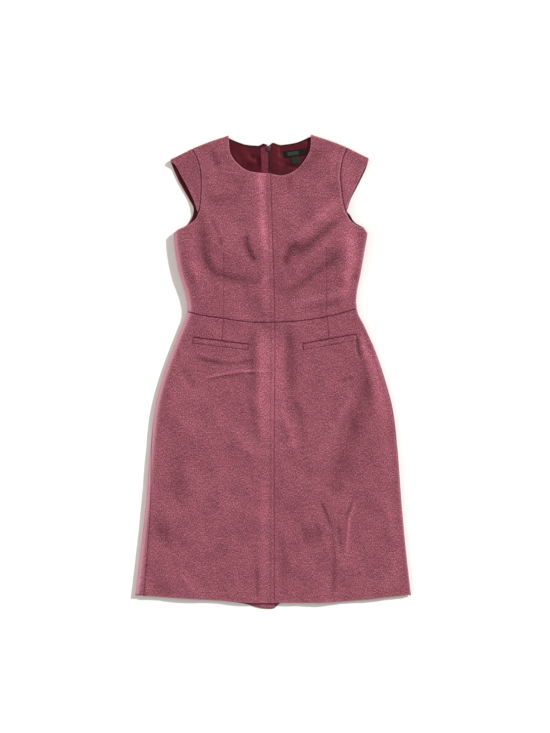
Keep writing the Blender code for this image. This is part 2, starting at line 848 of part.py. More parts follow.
def build_bodice(side, home):
    front = home == FRONT
    outline = drawn_in(bodice_outline(side, home), SEAM_GAP / 2)
    side_ys = spaced(ARMPIT_Y, waist_side_y(side), SEAM_STEP)[1:-1]
    turn = shoulder_seam_degrees(home)
    rolls = roll_points(side, home, side_ys)
    rolls += shoulder_roll_points(shoulder_xs(side)[1:-1], (0, turn / 3, 2 * turn / 3))
    groups = [(rolls, ROLL_APART)]
    if front:
        groups.append((fold_lines(FOLD_STEP), FOLD_APART))
        groups.append((lattice(outline, FRONT_STEP), FRONT_STEP))
    else:
        groups.append((lift_points(side), LIFT_APART))
        groups.append((lattice(outline, BACK_STEP), BACK_STEP))
    coords, faces = cut_cloth(outline, chosen(outline, (), groups))
    name = ("front" if front else "back") + "_bodice_" + side.name
    wall(name, coords, faces, home, "wool", 0.0, WOOL)


def welt_loop(side):
    """A welt's outline, with points along its length."""
    welt = WELTS[side.name]
    along = Vector((welt.inner.x - welt.outer.x, welt.inner.y - welt.outer.y))
    down = Vector((along.y, -along.x)).normalized() * welt.height
    if down.y > 0:
        down = -down
    tops = [Point(welt.outer.x + along.x * t, welt.outer.y + along.y * t) for t in spaced(0, 1, 1 / 6)]
    return tops + [Point(p.x + down.x, p.y + down.y) for p in reversed(tops)]


def build_front_skirt(side):
    outline = drawn_in(skirt_outline(side, FRONT, front_hem), SEAM_GAP / 2)
    side_ys = spaced(waist_side_y(side), hem_side_y(side), SEAM_STEP)[1:-1]
    loop = welt_loop(side)
    groups = [
        (roll_points(side, FRONT, side_ys), ROLL_APART),
        (fold_lines(SKIRT_FOLD_STEP), SKIRT_FOLD_APART),
        (lattice(outline, SKIRT_STEP), SKIRT_STEP),
    ]
    coords, faces = cut_cloth(outline, chosen(outline, (loop,), groups), (loop,))
    wall("front_skirt_" + side.name, coords, faces, FRONT, "wool", 0.0, WOOL)
    in_welt = [
        face
        for face in faces
        if inside(loop, sum(coords[v].x for v in face) / 3, sum(coords[v].y for v in face) / 3)
    ]
    wall("pocket_welt_" + side.name, coords, in_welt, FRONT, "wool", LAY_GAP + WELT, WELT)


def build_back_skirt(side):
    outline = drawn_in(skirt_outline(side, BACK, back_hem), SEAM_GAP / 2)
    side_ys = spaced(waist_side_y(side), hem_side_y(side), SEAM_STEP)[1:-1]
    groups = [
        (roll_points(side, BACK, side_ys), ROLL_APART),
        (lattice(outline, BACK_STEP), BACK_STEP),
    ]
    coords, faces = cut_cloth(outline, chosen(outline, (), groups))
    wall("back_skirt_" + side.name, coords, faces, BACK, "wool", 0.0, WOOL)


def build_sleeve(side):
    outline = drawn_in(sleeve_outline(side), SEAM_GAP / 2)
    xs = spaced(side.shoulder[2].x, side.shoulder[3].x, CURVE_STEP)[1:-1]
    groups = [
        (shoulder_roll_points(xs, (0, *SLEEVE_TURN_DEG, 180)), SLEEVE_APART),
        (lattice(outline, FRONT_STEP), FRONT_STEP),
    ]
    coords, faces = cut_cloth(outline, chosen(outline, (), groups))
    wall("cap_sleeve_" + side.name, coords, faces, FRONT, "wool", 0.0, WOOL)


def below_shoulder(points):
    """The points with none nearer the shoulder line than the linings reach."""
    return [Point(p.x, min(p.y, shoulder(p.x) - LINING_SHOULDER)) for p in points]


def lower_than_shoulder(points, by):
    """The points that lie lower than the linings' top edge by at least this."""
    return [p for p in points if p.y < shoulder(p.x) - LINING_SHOULDER - by]


def tape_outer(side, y):
    return centre_back(y) + side.sign * (TAPE_INNER + TAPE_WIDTH)


def lining_depth(side):
    """How far within the back's face the lining's lower side lies, which on the right steps over a tape."""
    flat = -(WOOL + LAY_GAP)

    def depth(x, y):
        over = 1 - ease((x - tape_outer(side, y) - STEP_START) / STEP_RUN) if side.sign > 0 else 0.0
        return flat - lift_slack(x, y) - over * (TAPE + LAY_GAP)

    return depth


def build_back_lining(side):
    ys = [*spaced(LINING_LOW, LIFT_START_Y, SEAM_STEP)[:-1], *LIFT_ROWS]
    top_centre = centre_back(LINING_TOP)
    if side.sign < 0:
        reaches = (TAPE_INNER + TAPE_WIDTH + LINING_BESIDE, LIFT_FOOT_HALF)
        centre_edge = [Point(tape_outer(side, y) - LINING_BESIDE, y) for y in ys]
    else:
        reaches = (LINING_CLEAR, LIFT_TOP_HALF, TAPE_INNER + TAPE_WIDTH + STEP_REACHES[0], LIFT_FOOT_HALF)
        centre_edge = [Point(centre_back(y) + LINING_CLEAR, y) for y in ys]
    tops = [Point(top_centre + side.sign * d, LINING_TOP + LINING_TOP_SLOPE * d) for d in reaches]
    neck = [p for p in through(side.back_neck, CURVE_STEP) if abs(p.x - top_centre) > LIFT_FOOT_HALF + 3]
    neck = below_shoulder([Point(p.x, p.y - LINING_EDGE) for p in neck])
    shoulders = [Point(x, shoulder(x) - LINING_SHOULDER) for x in shoulder_xs(side)[1:-1]]
    outer = lower_than_shoulder(through(side.seam_back, CURVE_STEP), LINING_CORNER)
    outer += through(side.armhole_back, CURVE_STEP)[1:]
    outer = [Point(p.x - side.sign * LINING_EDGE, p.y) for p in outer]
    foot = edge_of(side.sign, LINING_LOW) - side.sign * (roll_radius(LINING_LOW) + LINING_FROM_ROLL)
    beside_tape = [tape_outer(side, LINING_LOW) + side.sign * d for d in reversed(STEP_REACHES)]
    lows = spaced(foot, beside_tape[0], BACK_STEP)[:-1]
    lows += beside_tape if side.sign > 0 else beside_tape[:1]
    outline = centre_edge + tops + neck + shoulders + outer + [Point(x, LINING_LOW) for x in lows]
    steps = [Point(tape_outer(side, y) + side.sign * d, y) for y in ys for d in STEP_REACHES]
    groups = [
        (steps, STEP_APART),
        (lift_points(side), LINING_LIFT_APART),
        (lattice(outline, BACK_STEP), BACK_STEP),
    ]
    coords, faces = cut_cloth(outline, chosen(outline, (), groups))
    wall("back_lining_" + side.name, coords, faces, BACK, "satin", lining_depth(side), SATIN)


def build_sleeve_lining(side):
    seam = lower_than_shoulder(through(side.seam_back, CURVE_STEP), LINING_CORNER)
    edge = lower_than_shoulder(through(side.edge_back, CURVE_STEP), LINING_CORNER / 2)
    seam = [Point(p.x + side.sign * LINING_BESIDE, p.y + SLEEVE_LINING_SHIFT) for p in seam]
    edge = [Point(p.x - side.sign * LINING_EDGE, p.y + SLEEVE_LINING_SHIFT) for p in edge]
    top = spaced(seam[0].x, edge[0].x, CURVE_STEP)[1:-1]
    top = [Point(x, shoulder(x) - LINING_SHOULDER) for x in top]
    outline = list(reversed(seam)) + top + edge
    coords, faces = cut_cloth(outline, chosen(outline, (), [(lattice(outline, SMALL_STEP), SMALL_STEP)]))
    wall("sleeve_lining_" + side.name, coords, faces, BACK, "satin", -(WOOL + LAY_GAP), SATIN)


def build_zip_tape(side):
    ys = spaced(TAPE_END, TAPE_TOP, SEAM_STEP)
    ys = sorted({*(y for y in ys if y < LIFT_START_Y - SEAM_STEP / 2), *LIFT_ROWS, TAPE_TOP})
    inner = [Point(centre_back(y) + side.sign * TAPE_INNER, y) for y in ys]
    middle = [Point(centre_back(y) + side.sign * LIFT_TOP_HALF, y) for y in ys[1:-1] if y >= LIFT_START_Y]
    outer = [Point(tape_outer(side, y), y) for y in reversed(ys)]
    coords, faces = cut_cloth(inner + outer, middle)

    def depth(x, y):
        return -(WOOL + LAY_GAP) - lift_slack(x, y)

    wall("zip_tape_" + side.name, coords, faces, BACK, "tape", depth, TAPE)


def tilted(corner, along, down, degrees):
    """A point of a tilted patch, from its upper left corner."""
    angle = math.radians(degrees)
    return Point(
        corner.x + along * math.cos(angle) + down * math.sin(angle),
        corner.y + along * math.sin(angle) - down * math.cos(angle),
    )


def build_patch(name, start, width, height, drop):
    corners = [(start, drop), (start + width, drop), (start + width, drop + height), (start, drop + height)]
    outline = [tilted(LABEL_CORNER, a, d, LABEL_TILT_DEG) for a, d in corners]
    coords, faces = cut_cloth(outline, [])
    wall(name, coords, faces, BACK, "label", -(WOOL + LAY_GAP + SATIN + LAY_GAP), LABEL)


def flat_shape(name, outlines, half_thick):
    """A flat shape from closed outlines, of which an inner one is a hole, as a welded mesh."""
    curve = bpy.data.curves.new(name, "CURVE")
    curve.dimensions = "2D"
    curve.fill_mode = "BOTH"
    curve.extrude = half_thick * MM
    for outline in outlines:
        spline = curve.splines.new("POLY")
        spline.points.add(len(outline) - 1)
        spline.use_cyclic_u = True
        for point, (x, y) in zip(spline.points, outline):
            point.co = (x * MM, y * MM, 0, 1)
    helper = bpy.data.objects.new(name, curve)
    bpy.context.scene.collection.objects.link(helper)
    bpy.context.view_layer.update()
    graph = bpy.context.evaluated_depsgraph_get()
    mesh = bpy.data.meshes.new_from_object(helper.evaluated_get(graph))
    bpy.data.objects.remove(helper)
    shape = bmesh.new()
    shape.from_mesh(mesh)
    bmesh.ops.remove_doubles(shape, verts=shape.verts, dist=0.00001)
    bmesh.ops.recalc_face_normals(shape, faces=shape.faces)
    shape.to_mesh(mesh)
    shape.free()
    return mesh


def joined(obj, other_mesh, other_matrix):
    """The object with another closed mesh united to it."""
    other = bpy.data.objects.new(obj.name + "_joined", other_mesh)
    other.matrix_world = other_matrix
    other.hide_render = True
    other.display_type = "WIRE"
    bpy.data.collections["cutters"].objects.link(other)
    union = obj.modifiers.new("join", "BOOLEAN")
    union.operation = "UNION"
    union.object = other


def circle(radius, steps):
    return [
        (radius * math.cos(2 * math.pi * k / steps), radius * math.sin(2 * math.pi * k / steps))
        for k in range(steps)
    ]


def placed(turned, y, z):
    """A place on the zip's line, with the axes that a part's own axes go to."""
    place = Matrix(turned).transposed().to_4x4()
    place.translation = Vector((centre_back(SLIDER_Y), y, z)) * MM
    return place


def build_slider():
    """The slider: its body inside the dress, and a lug down between the zip's edges for the tab's pin."""
    height = SLIDER_SIZE[2]
    bottom = ZIP_LIFT + WOOL + LAY_GAP + LIFT_SLACK + TAPE + LAY_GAP
    middle = bottom + height / 2
    body = bmesh.new()
    bmesh.ops.create_cube(body, size=1)
    bmesh.ops.scale(body, vec=Vector(SLIDER_SIZE) * MM, verts=body.verts)
    bevel = SLIDER_BEVEL * MM
    bmesh.ops.bevel(body, geom=body.edges[:], offset=bevel, segments=2, affect="EDGES", profile=0.5)
    bmesh.ops.transform(body, matrix=placed(STRAIGHT, SLIDER_Y, middle), verts=body.verts)
    mesh = bpy.data.meshes.new("zip_slider")
    body.to_mesh(mesh)
    body.free()
    obj = new_object("zip_slider", mesh, "metal")
    lug_height = middle - LUG_FOOT
    half = LUG_LENGTH / 2
    right_half = [(half - LUG_CORNER, 0), (half, LUG_CORNER), (half, lug_height)]
    outline = right_half + [(-a, b) for a, b in reversed(right_half)]
    hole = [(a, b + PIN_Z - LUG_FOOT) for a, b in circle(PIN_HOLE_RADIUS, ROUND_STEPS)]
    lug = flat_shape("lug", [outline, hole], LUG_THICK / 2)
    joined(obj, lug, placed(UPRIGHT, SLIDER_Y, LUG_FOOT))


def build_pull_tab():
    """The pull tab under the cloth, whose pin turns in the slider's lug."""
    edge = [(row.half_width, row.y) for row in TAB_ROWS]
    slot = [(TAB_SLOT_HALF, TAB_SLOT_END), (TAB_SLOT_HALF, TAB_ROWS[0].y)]
    outline = edge + [(-a, b) for a, b in reversed(edge)]
    outline += [(-a, b) for a, b in reversed(slot)] + slot
    mesh = flat_shape("zip_pull_tab", [outline], PIN_RADIUS)
    place = placed(STRAIGHT, SLIDER_Y, PIN_Z)
    obj = new_object("zip_pull_tab", mesh, "metal")
    obj.matrix_world = place
    pin = flat_shape("pin", [circle(PIN_RADIUS * PIN_SLIMMER, ROUND_STEPS)], PIN_HALF_LENGTH)
    joined(obj, pin, placed(ACROSS, SLIDER_Y, PIN_Z))


def clear_scene():
    for obj in list(bpy.data.objects):
        bpy.data.objects.remove(obj)
    for name in ("sheath_dress", "cutters"):
        collection = bpy.data.collections.new(name)
        bpy.context.scene.collection.children.link(collection)


def main():
    clear_scene()
    for side in (LEFT, RIGHT):
        build_bodice(side, FRONT)
        build_bodice(side, BACK)
        build_front_skirt(side)
        build_back_skirt(side)
        build_sleeve(side)
        build_back_lining(side)
        build_sleeve_lining(side)
        build_zip_tape(side)
    build_patch("neck_label", 0.0, LABEL_SIZE[0], LABEL_SIZE[1], 0.0)
    build_patch("size_tab", SIZE_TAB_ALONG, SIZE_TAB_SIZE[0], SIZE_TAB_SIZE[1], LABEL_SIZE[1] + LAY_GAP)
    build_slider()
    build_pull_tab()


main()
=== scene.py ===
"""The laid sheath dress in cloth: wool panels, satin lining, zip, labels and stitching, on a pale floor.

Tables and cuts are in millimetres in the frame of the solids, and Blender gets metres. Every panel is cut in
the flat and then laid on one form, so a cut has its own plan as its map for the weave.
"""

import math
from collections import namedtuple

import bpy
import numpy as np
from bpy.props import FloatProperty, FloatVectorProperty, PointerProperty
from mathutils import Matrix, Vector
from mathutils.geometry import delaunay_2d_cdt


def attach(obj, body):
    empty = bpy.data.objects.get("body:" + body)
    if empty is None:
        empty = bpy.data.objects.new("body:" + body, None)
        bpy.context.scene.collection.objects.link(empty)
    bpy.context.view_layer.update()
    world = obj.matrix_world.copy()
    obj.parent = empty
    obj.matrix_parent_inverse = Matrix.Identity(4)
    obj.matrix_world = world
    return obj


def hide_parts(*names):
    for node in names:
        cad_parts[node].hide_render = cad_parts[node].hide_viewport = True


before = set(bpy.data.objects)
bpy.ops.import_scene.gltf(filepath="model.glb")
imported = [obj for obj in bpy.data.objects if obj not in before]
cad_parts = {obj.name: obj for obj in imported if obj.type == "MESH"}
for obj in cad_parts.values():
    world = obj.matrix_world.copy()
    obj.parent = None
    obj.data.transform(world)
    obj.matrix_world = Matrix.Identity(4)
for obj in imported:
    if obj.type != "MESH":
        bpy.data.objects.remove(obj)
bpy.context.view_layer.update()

bl_info = {
    "name": "Laid sheath dress",
    "version": (1, 0, 0),
    "blender": (4, 5, 0),
    "location": "3D View > Sidebar > Dress",
    "description": "Lays a wool sheath dress on its solids, piece by piece",
    "category": "Add Mesh",
}

MM = 0.001
FRONT = 1
BACK = -1
BODY = "dress"

# Sizes shared with the solids.
WOOL = 2.0
SATIN = 1.0
TAPE = 1.0
SEAM_GAP = 0.12
LAY_GAP = 0.3

# A cross-section of the laid dress at height y: its silhouette at both sides, the radius of its side
# rolls, how high the front lies over the surface, and how far each side seam has crept onto the front.
Section = namedtuple("Section", "y left right roll crown seam_left seam_right")
SECTIONS = (
    Section(-475, -278.4, 279.2, 3.9, 7.6, 18.0, -2.0),
    Section(-448, -275.6, 276.8, 3.9, 7.8, 17.0, -2.0),
    Section(-356, -264.6, 266.6, 3.9, 8.0, 13.5, -2.0),
    Section(-256, -253.4, 257.2, 3.9, 8.0, 8.5, -1.0),
    Section(-156, -245.2, 249.6, 3.9, 8.0, 2.0, 1.0),
    Section(-76, -236.2, 240.4, 3.9, 8.0, -2.0, 2.0),
    Section(-16, -221.6, 224.6, 3.9, 8.2, -2.5, 1.5),
    Section(44, -200.4, 204.4, 4.0, 8.2, -3.0, -1.0),
    Section(92, -181.4, 183.2, 4.2, 8.4, -3.0, -3.0),
    Section(120, -171.2, 169.4, 4.5, 9.0, -3.0, -3.0),
    Section(152, -174.2, 167.4, 5.0, 10.4, -3.0, -3.0),
    Section(200, -188.4, 176.4, 5.8, 12.6, -3.0, -3.0),
    Section(248, -196.8, 184.6, 6.2, 13.2, -3.0, -3.0),
    Section(278, -198.6, 189.4, 6.2, 12.4, -3.0, -3.0),
    Section(320, -198.6, 189.4, 6.2, 10.2, -3.0, -3.0),
    Section(380, -198.6, 189.4, 6.2, 9.0, -3.0, -3.0),
    Section(475, -198.6, 189.4, 6.2, 8.2, -3.0, -3.0),
)
ARMPIT_Y = 278
ARMHOLE_SPREAD = 4.0
EDGE_RISE = 30.0
WAIST_SIDE_X = 168
HEM_SIDE_Y = -448
HEM_SIDE_IN = 18
WAIST_CENTRE_Y = 100
HEM_CENTRE_Y = -460
SHOULDER_ROLL = 3.9
SHOULDER_SEAM_DEG = 115
ROLL_STEP_DEG = 15
ROLL_ROWS = 13
ROLL_ROWS_ABOVE_ARMPIT = 8
# Towards its edge a sleeve lies lower.
SLEEVE_FALL = 3.6
SLEEVE_FALL_START = 138.0
SLEEVE_FALL_RUN = 28.0
# The front's face keeps this high over the back's, and the limit bends it over the last few millimetres.
BODICE_LEAST = 5.4
SKIRT_LEAST = 4.6
LEAST_BLEND = 0.6
LEAST_PAST = 6.0

Point = namedtuple("Point", "x y")


def line_of(*places):
    """A line's points, from their X and Y."""
    return tuple(Point(*place) for place in places)


WAIST = line_of(
    (-171, 120), (-134, 111.6), (-98, 106.6), (-46, 99.4), (-5, 99), (45, 101.2), (86, 106.6),
    (122, 113.4), (168, 126.4),
)
FRONT_HEM = line_of(
    (-276, -447), (-186, -453), (-106, -458), (-46, -461.6), (24, -462.2), (94, -462.2), (144, -459.6),
    (204, -454), (277, -445.6),
)
BACK_HEM = line_of(
    (-276, -447), (-150, -455), (-62, -463.6), (-24, -473.4), (0, -474.6), (5, -472.4), (7, -470),
    (15, -463.4), (60, -458), (150, -452), (277, -445.6),
)
CENTRE_FRONT = line_of((2.4, -475), (2.4, -116), (3.6, 99), (-4.6, 396.8), (-5, 475))
CENTRE_BACK = line_of((6, -475), (1.4, 100), (-5.8, 397), (-8, 452), (-8, 475))

# The curves of each side, from the centre out or from the shoulder down.
Side = namedtuple(
    "Side",
    "name sign shoulder front_neck back_neck notch seam_front edge_front armhole_front"
    " seam_back edge_back armhole_back",
)
LEFT = Side(
    name="left",
    sign=-1,
    shoulder=line_of((-88.6, 473), (-126, 460.6), (-160.4, 446.8), (-205, 425)),
    front_neck=line_of(
        (-4.6, 396.8), (-24.4, 397.8), (-44.8, 400.8), (-60, 407.8), (-75.6, 422.2), (-85.6, 440),
        (-88.6, 469.1),
    ),
    back_neck=line_of((-29.6, 453.2), (-55.6, 455.8), (-80, 464.6), (-88.6, 469.1)),
    notch=line_of((-9.1, 451.4), (-12, 455), (-18.8, 457.4), (-24, 455), (-29.6, 453.2)),
    seam_front=line_of(
        (-160.4, 442.9), (-154, 433), (-148.8, 420), (-144.8, 402), (-143.4, 378), (-144, 350),
        (-147.4, 323),
    ),
    edge_front=line_of(
        (-205, 421.1), (-194.6, 413), (-184.6, 394.6), (-171.8, 371.6), (-159, 344.8), (-151.2, 321),
    ),
    armhole_front=line_of((-147.4, 323), (-152.6, 309), (-159.6, 301), (-171.8, 293), (-189, 284.8)),
    seam_back=line_of((-160.4, 442.9), (-150, 418), (-146, 380), (-150, 340), (-158, 324)),
    edge_back=line_of((-205, 421.1), (-198.6, 404.8), (-188.4, 381.8), (-174.8, 357.6), (-159, 330)),
    armhole_back=line_of((-158, 324), (-161.2, 311.6), (-166.4, 301), (-172.4, 294.2), (-189, 285.4)),
)
RIGHT = Side(
    name="right",
    sign=1,
    shoulder=line_of((76.4, 474.8), (112, 463.4), (147.4, 449.4), (192, 427.6)),
    front_neck=line_of(
        (-4.6, 396.8), (7, 393.8), (18, 392.8), (32, 396.2), (47, 404.8), (58, 415.6), (68, 430.8),
        (74.6, 446), (76.4, 470.9),
    ),
    back_neck=line_of((16.4, 454.6), (46.4, 459.4), (68, 468), (76.4, 470.9)),
    notch=line_of((-6.9, 451.4), (-4.4, 456), (0, 459), (8, 456.4), (16.4, 454.6)),
    seam_front=line_of(
        (147.4, 445.5), (141, 429), (136.6, 408), (135, 388), (137.4, 366), (140.4, 342), (145.6, 321),
    ),
    edge_front=line_of((192, 423.7), (182, 404), (165, 369.6), (152.8, 341.6), (148.6, 321)),
    armhole_front=line_of((145.6, 321), (152.8, 307), (159, 299.4), (168, 293.6), (182, 287.4)),
    seam_back=line_of((147.4, 445.5), (139, 418), (136, 380), (140, 344), (147.6, 322)),
    edge_back=line_of((192, 423.7), (185.6, 404), (168.6, 369.6), (156.4, 346), (150.8, 328)),
    armhole_back=line_of((147.6, 322), (154.4, 315), (160.4, 304.4), (167.4, 297.4), (182, 289.4)),
)
SIDES = (LEFT, RIGHT)

# The form's soft hills.
Cup = namedtuple("Cup", "x y reach_x reach_y height")
CUPS = (
    Cup(-96, 246, 50, 58, 8.0),
    Cup(102, 250, 50, 58, 8.0),
)

# Ridges and troughs: the line, the half-width on its first side and on its second, the height, and how much
# painted highlight or painted shade the colour takes there. The first side is at +X of a line drawn down, and
# above a line drawn to the right.
Crease = namedtuple("Crease", "line first second height tone")
# How much of it there is at its ends, and over which share of its length it comes in.
CREASE_END = 0.25
CREASE_TAPER = 0.3


def creases_of(*rows):
    return tuple(Crease(*row) for row in rows)


CREASES = creases_of(
    # Bodice: the ridge left of the centre seam, steep towards it, and the crease at its foot.
    (((-34, 408), (-32, 364), (-30, 294), (-26, 244), (-18, 200)), 13, 40, 5.4, 0.04),
    (((-23, 444), (-22, 364), (-20, 300), (-12, 244), (-14, 192)), 9, 9, 0, 0.16),
    (((-10, 192), (-22, 174), (-38, 160), (-54, 144)), 6, 7, 2.2, 0.06),
    (((-22, 192), (-42, 172)), 5, 6, -1.4, -0.06),
    (((-55, 274), (-53, 252), (-45, 232), (-34, 216)), 5.5, 9, -3.2, -0.2),
    # Bodice, left: the trough beside and under the bust, its dent, and the pull below the armhole.
    (
        ((-147, 316), (-144, 272), (-141, 230), (-135, 208), (-118, 192), (-76, 181), (-34, 176)),
        *(11, 14, -5, -0.1),
    ),
    (((-126, 240), (-114, 216)), 8, 8, 1.6, 0.04),
    (((-109, 268), (-104, 254)), 6, 6, -2, -0.12),
    (((-126, 310), (-108, 272)), 3.5, 4, -1.1, -0.1),
    (((-178, 180), (-162, 166), (-158, 152)), 6, 6, 2, 0.05),
    (((-174, 220), (-154, 180), (-146, 136)), 12, 12, 2, 0.03),
    # Bodice, right: slanted ridges and troughs from the side to the centre.
    (((132, 344), (104, 320), (78, 298), (54, 274), (36, 252)), 10, 9, 3.8, 0.2),
    (((136, 310), (106, 284), (78, 258), (52, 240), (34, 226)), 8, 8, -4.1, -0.2),
    (((54, 258), (34, 246), (26, 228), (26, 208)), 10, 8, -3.2, -0.25),
    (((118, 264), (90, 240), (62, 220), (40, 194)), 7, 7, 3.2, 0.11),
    (((132, 236), (106, 212), (78, 192), (50, 170), (22, 154)), 8, 8, -4.1, -0.16),
    (((160, 170), (138, 152), (102, 146), (58, 136), (28, 122)), 8, 9, 2.7, 0.09),
    (((130, 136), (90, 126), (60, 118)), 5, 5, -1.2, -0.05),
    (((140, 284), (144, 234), (138, 168)), 17, 24, 5.7, 0.03),
    (((156, 292), (158, 234), (152, 160)), 13, 12, 0, 0.12),
    (((164, 196), (166, 182)), 6, 6, -2.6, -0.18),
    (((-178, 268), (-168, 220), (-154, 144)), 20, 12, 3.2, 0.1),
    (((-22, 194), (-20, 108)), 14, 14, 3, 0.05),
    # Chest and shoulders.
    (((130, 440), (108, 394), (80, 360)), 12, 14, 2.4, 0.06),
    (((98, 444), (66, 412), (36, 396)), 10, 10, -2.3, -0.11),
    (((30, 392), (32, 352)), 5, 6, -1.4, -0.06),
    (((-124, 444), (-112, 408)), 8, 8, -2.2, -0.15),
    (((-136, 412), (-118, 368)), 12, 12, 1.5, 0.05),
    (((-134, 340), (-102, 346), (-64, 342)), 9, 10, -1.4, -0.06),
    (((-90, 392), (-54, 364)), 14, 14, -1.2, -0.05),
    (((54, 334), (30, 294)), 14, 12, 1.6, 0.04),
    (((-198, 424), (-166, 368)), 26, 24, 0, -0.04),
    (((186, 416), (154, 352)), 24, 24, 0, 0.04),
    (((66, 144), (146, 160)), 22, 16, 0, 0.04),
    # Skirt: the ridge left of the centre seam, the trough right of it, and the drape from hip to centre.
    (((-32, 98), (-32, 44), (-32, -56), (-26, -148)), 15, 15, 5.1, 0.01),
    (((-20, 98), (-21, 44), (-22, -56), (-20, -146)), 22, 7, 0, 0.11),
    (((12, 84), (16, -46), (32, -126), (56, -186)), 7, 7, 0, 0.05),
    (((28, 92), (30, 34), (34, -44)), 11, 9, -4.9, -0.11),
    (((34, -48), (48, -88), (60, -148)), 10, 13, -3, -0.05),
    (((12, -46), (28, -106), (48, -166)), 6, 9, 1.6, 0.06),
    (((2, 92), (2, -140)), 15, 16, 0.8, 0.12),
    (((-66, -150), (-22, -168), (24, -150), (50, -144)), 8, 9, 1.6, 0.06),
    (((-196, -6), (-142, -64), (-76, -132), (-30, -162)), 16, 20, 2.2, 0.06),
    (((178, 0), (158, -76), (136, -150), (110, -220)), 18, 15, -4.3, -0.04),
    (((188, -12), (176, -76), (160, -136), (140, -196), (110, -244)), 16, 16, 0, -0.09),
    (((166, -22), (136, -86), (100, -148), (66, -198)), 9, 11, 1.8, 0.06),
    # Skirt: creases under the left welt, and by the right hip.
    (((-162, 30), (-134, 21), (-90, 15), (-34, 22)), 3, 4.4, -1.8, -0.14),
    (((-154, 36), (-106, 24)), 5, 5, 1.1, 0.04),
    (((-140, -14), (-96, -4), (-56, 1), (-10, 1)), 2.8, 2.2, 2.3, 0.28),
    (((-134, -18), (-94, -9), (-54, -4)), 2.6, 4, -1.4, -0.11),
    (((-182, 4), (-162, -32)), 7, 8, -2.2, -0.07),
    (((168, 70), (170, 46), (175, 26)), 3, 3.4, -2.7, -0.25),
    (((186, 56), (194, 8), (210, -106)), 19, 12, 4.9, 0.03),
    (((202, 54), (214, -16), (228, -112)), 12, 12, 0, 0.11),
    (((178, 70), (181, 50), (188, 28)), 7, 4, 1.8, 0.19),
    (((126, -20), (162, -12)), 3.2, 4, -1.6, -0.11),
    (((-46, 92), (-44, -26)), 9, 10, -1.6, -0.04),
    # Skirt, low: the pair of creases over the hem, and the slow unevenness down there.
    (((96, -260), (104, -280), (116, -310)), 3, 4, -2.3, -0.18),
    (((116, -312), (122, -376), (118, -452)), 5, 6, -1.8, -0.09),
    (((164, -260), (152, -292), (148, -336), (147, -368)), 3.2, 3.2, 2.3, 0.18),
    (((158, -260), (146, -292)), 3, 4, -1.8, -0.12),
    (((130, -304), (136, -368)), 4, 5, -1.8, -0.1),
    (((-24, -180), (-22, -296), (-24, -456)), 11, 14, 2.4, 0.04),
    (((-34, -388), (-32, -456)), 4, 6, -1.9, -0.1),
    (((16, -316), (18, -450)), 9, 9, -2, -0.06),
    (((98, -324), (54, -332)), 22, 20, -2.6, -0.1),
    (((-242, -312), (-194, -348)), 18, 18, -2.6, -0.11),
    (((-196, -166), (-190, -280)), 16, 16, -2.4, -0.06),
    (((-246, -428), (-206, -444)), 14, 14, -1.9, -0.09),
    (((-190, -396), (-162, -440)), 6, 7, 1.6, 0.05),
    (((226, -252), (234, -320)), 14, 16, 2.7, 0.06),
    (((210, -448), (254, -376)), 12, 12, 2.4, 0.06),
    (((-86, -352), (-154, -388)), 14, 14, -1.4, -0.04),
    (((114, -246), (142, -224)), 12, 12, -1.6, -0.06),
    (((-122, -196), (-94, -296)), 22, 20, 1.8, 0.03),
)

# The back's ridges, lower because the back bears on the floor; their tones are painted highlight and shade.
BACK_CREASES = creases_of(
    (((-60, 370), (-96, 330), (-128, 300)), 9, 12, 1.6, 0.08),
    (((-48, 330), (-84, 286), (-132, 262)), 8, 8, 1.1, 0.05),
    (((-150, 236), (-104, 200), (-56, 186)), 10, 8, 1.5, 0.07),
    (((66, 366), (92, 318), (126, 292)), 8, 10, 1.4, 0.07),
    (((148, 250), (110, 214), (52, 196)), 9, 9, 1.6, 0.08),
    (((140, 190), (96, 168), (44, 160)), 6, 7, 0.9, 0.05),
    (((-48, 84), (-44, 10), (-52, -96)), 12, 15, 1.7, 0.06),
    (((46, 80), (58, 6), (50, -70)), 11, 11, 1.5, 0.06),
    (((-150, 40), (-104, 26), (-64, 30)), 5, 6, 0.9, 0.06),
    (((158, 22), (112, 2), (70, 6)), 5, 7, 1.0, 0.06),
    (((-196, -40), (-150, -120), (-92, -190)), 15, 18, 1.8, 0.05),
    (((190, -60), (162, -150), (120, -240)), 14, 16, 1.8, 0.05),
    (((-70, -250), (-80, -340), (-74, -448)), 9, 11, 1.3, 0.05),
    (((92, -290), (104, -370), (100, -446)), 10, 9, 1.4, 0.06),
    (((-210, -330), (-170, -392)), 14, 14, 1.4, 0.05),
)

# Slow unevenness of the front: how long its waves are and how high, and how many there are of each.
Wave = namedtuple("Wave", "length height")
WAVES = (Wave(160.0, 1.3), Wave(90.0, 0.95), Wave(48.0, 0.42), Wave(25.0, 0.16))
WAVE_WAYS = 7
WAVE_SPREAD = (0.75, 1.3)
WAVE_SEED = 11

# Wrinkles of the satin behind the neck; their tones are painted highlight and shade on the satin.
LINING_CREASES = creases_of(
    (((-62, 452), (-54, 424)), 7, 7, 0.9, 0.25),
    (((-51, 438), (-47, 428), (-42, 424), (-32, 421)), 3.2, 4, 1.1, 0.7),
    (((-45, 434), (-36, 430)), 4, 4, -0.6, -0.4),
    (((-29, 432), (-25, 410)), 5, 5, -0.4, -0.55),
    (((-52, 420), (-38, 408)), 5, 6, -0.5, -0.35),
    (((-80, 442), (-66, 414)), 5, 5, 0.7, 0.3),
    (((16, 440), (20, 408)), 6, 6, 0.7, 0.5),
    (((10, 424), (30, 416), (52, 410)), 4, 5, -0.6, -0.4),
    (((30, 408), (58, 404)), 4, 4, 0.6, 0.3),
    (((62, 462), (74, 452)), 5, 6, 0.5, 0.35),
)

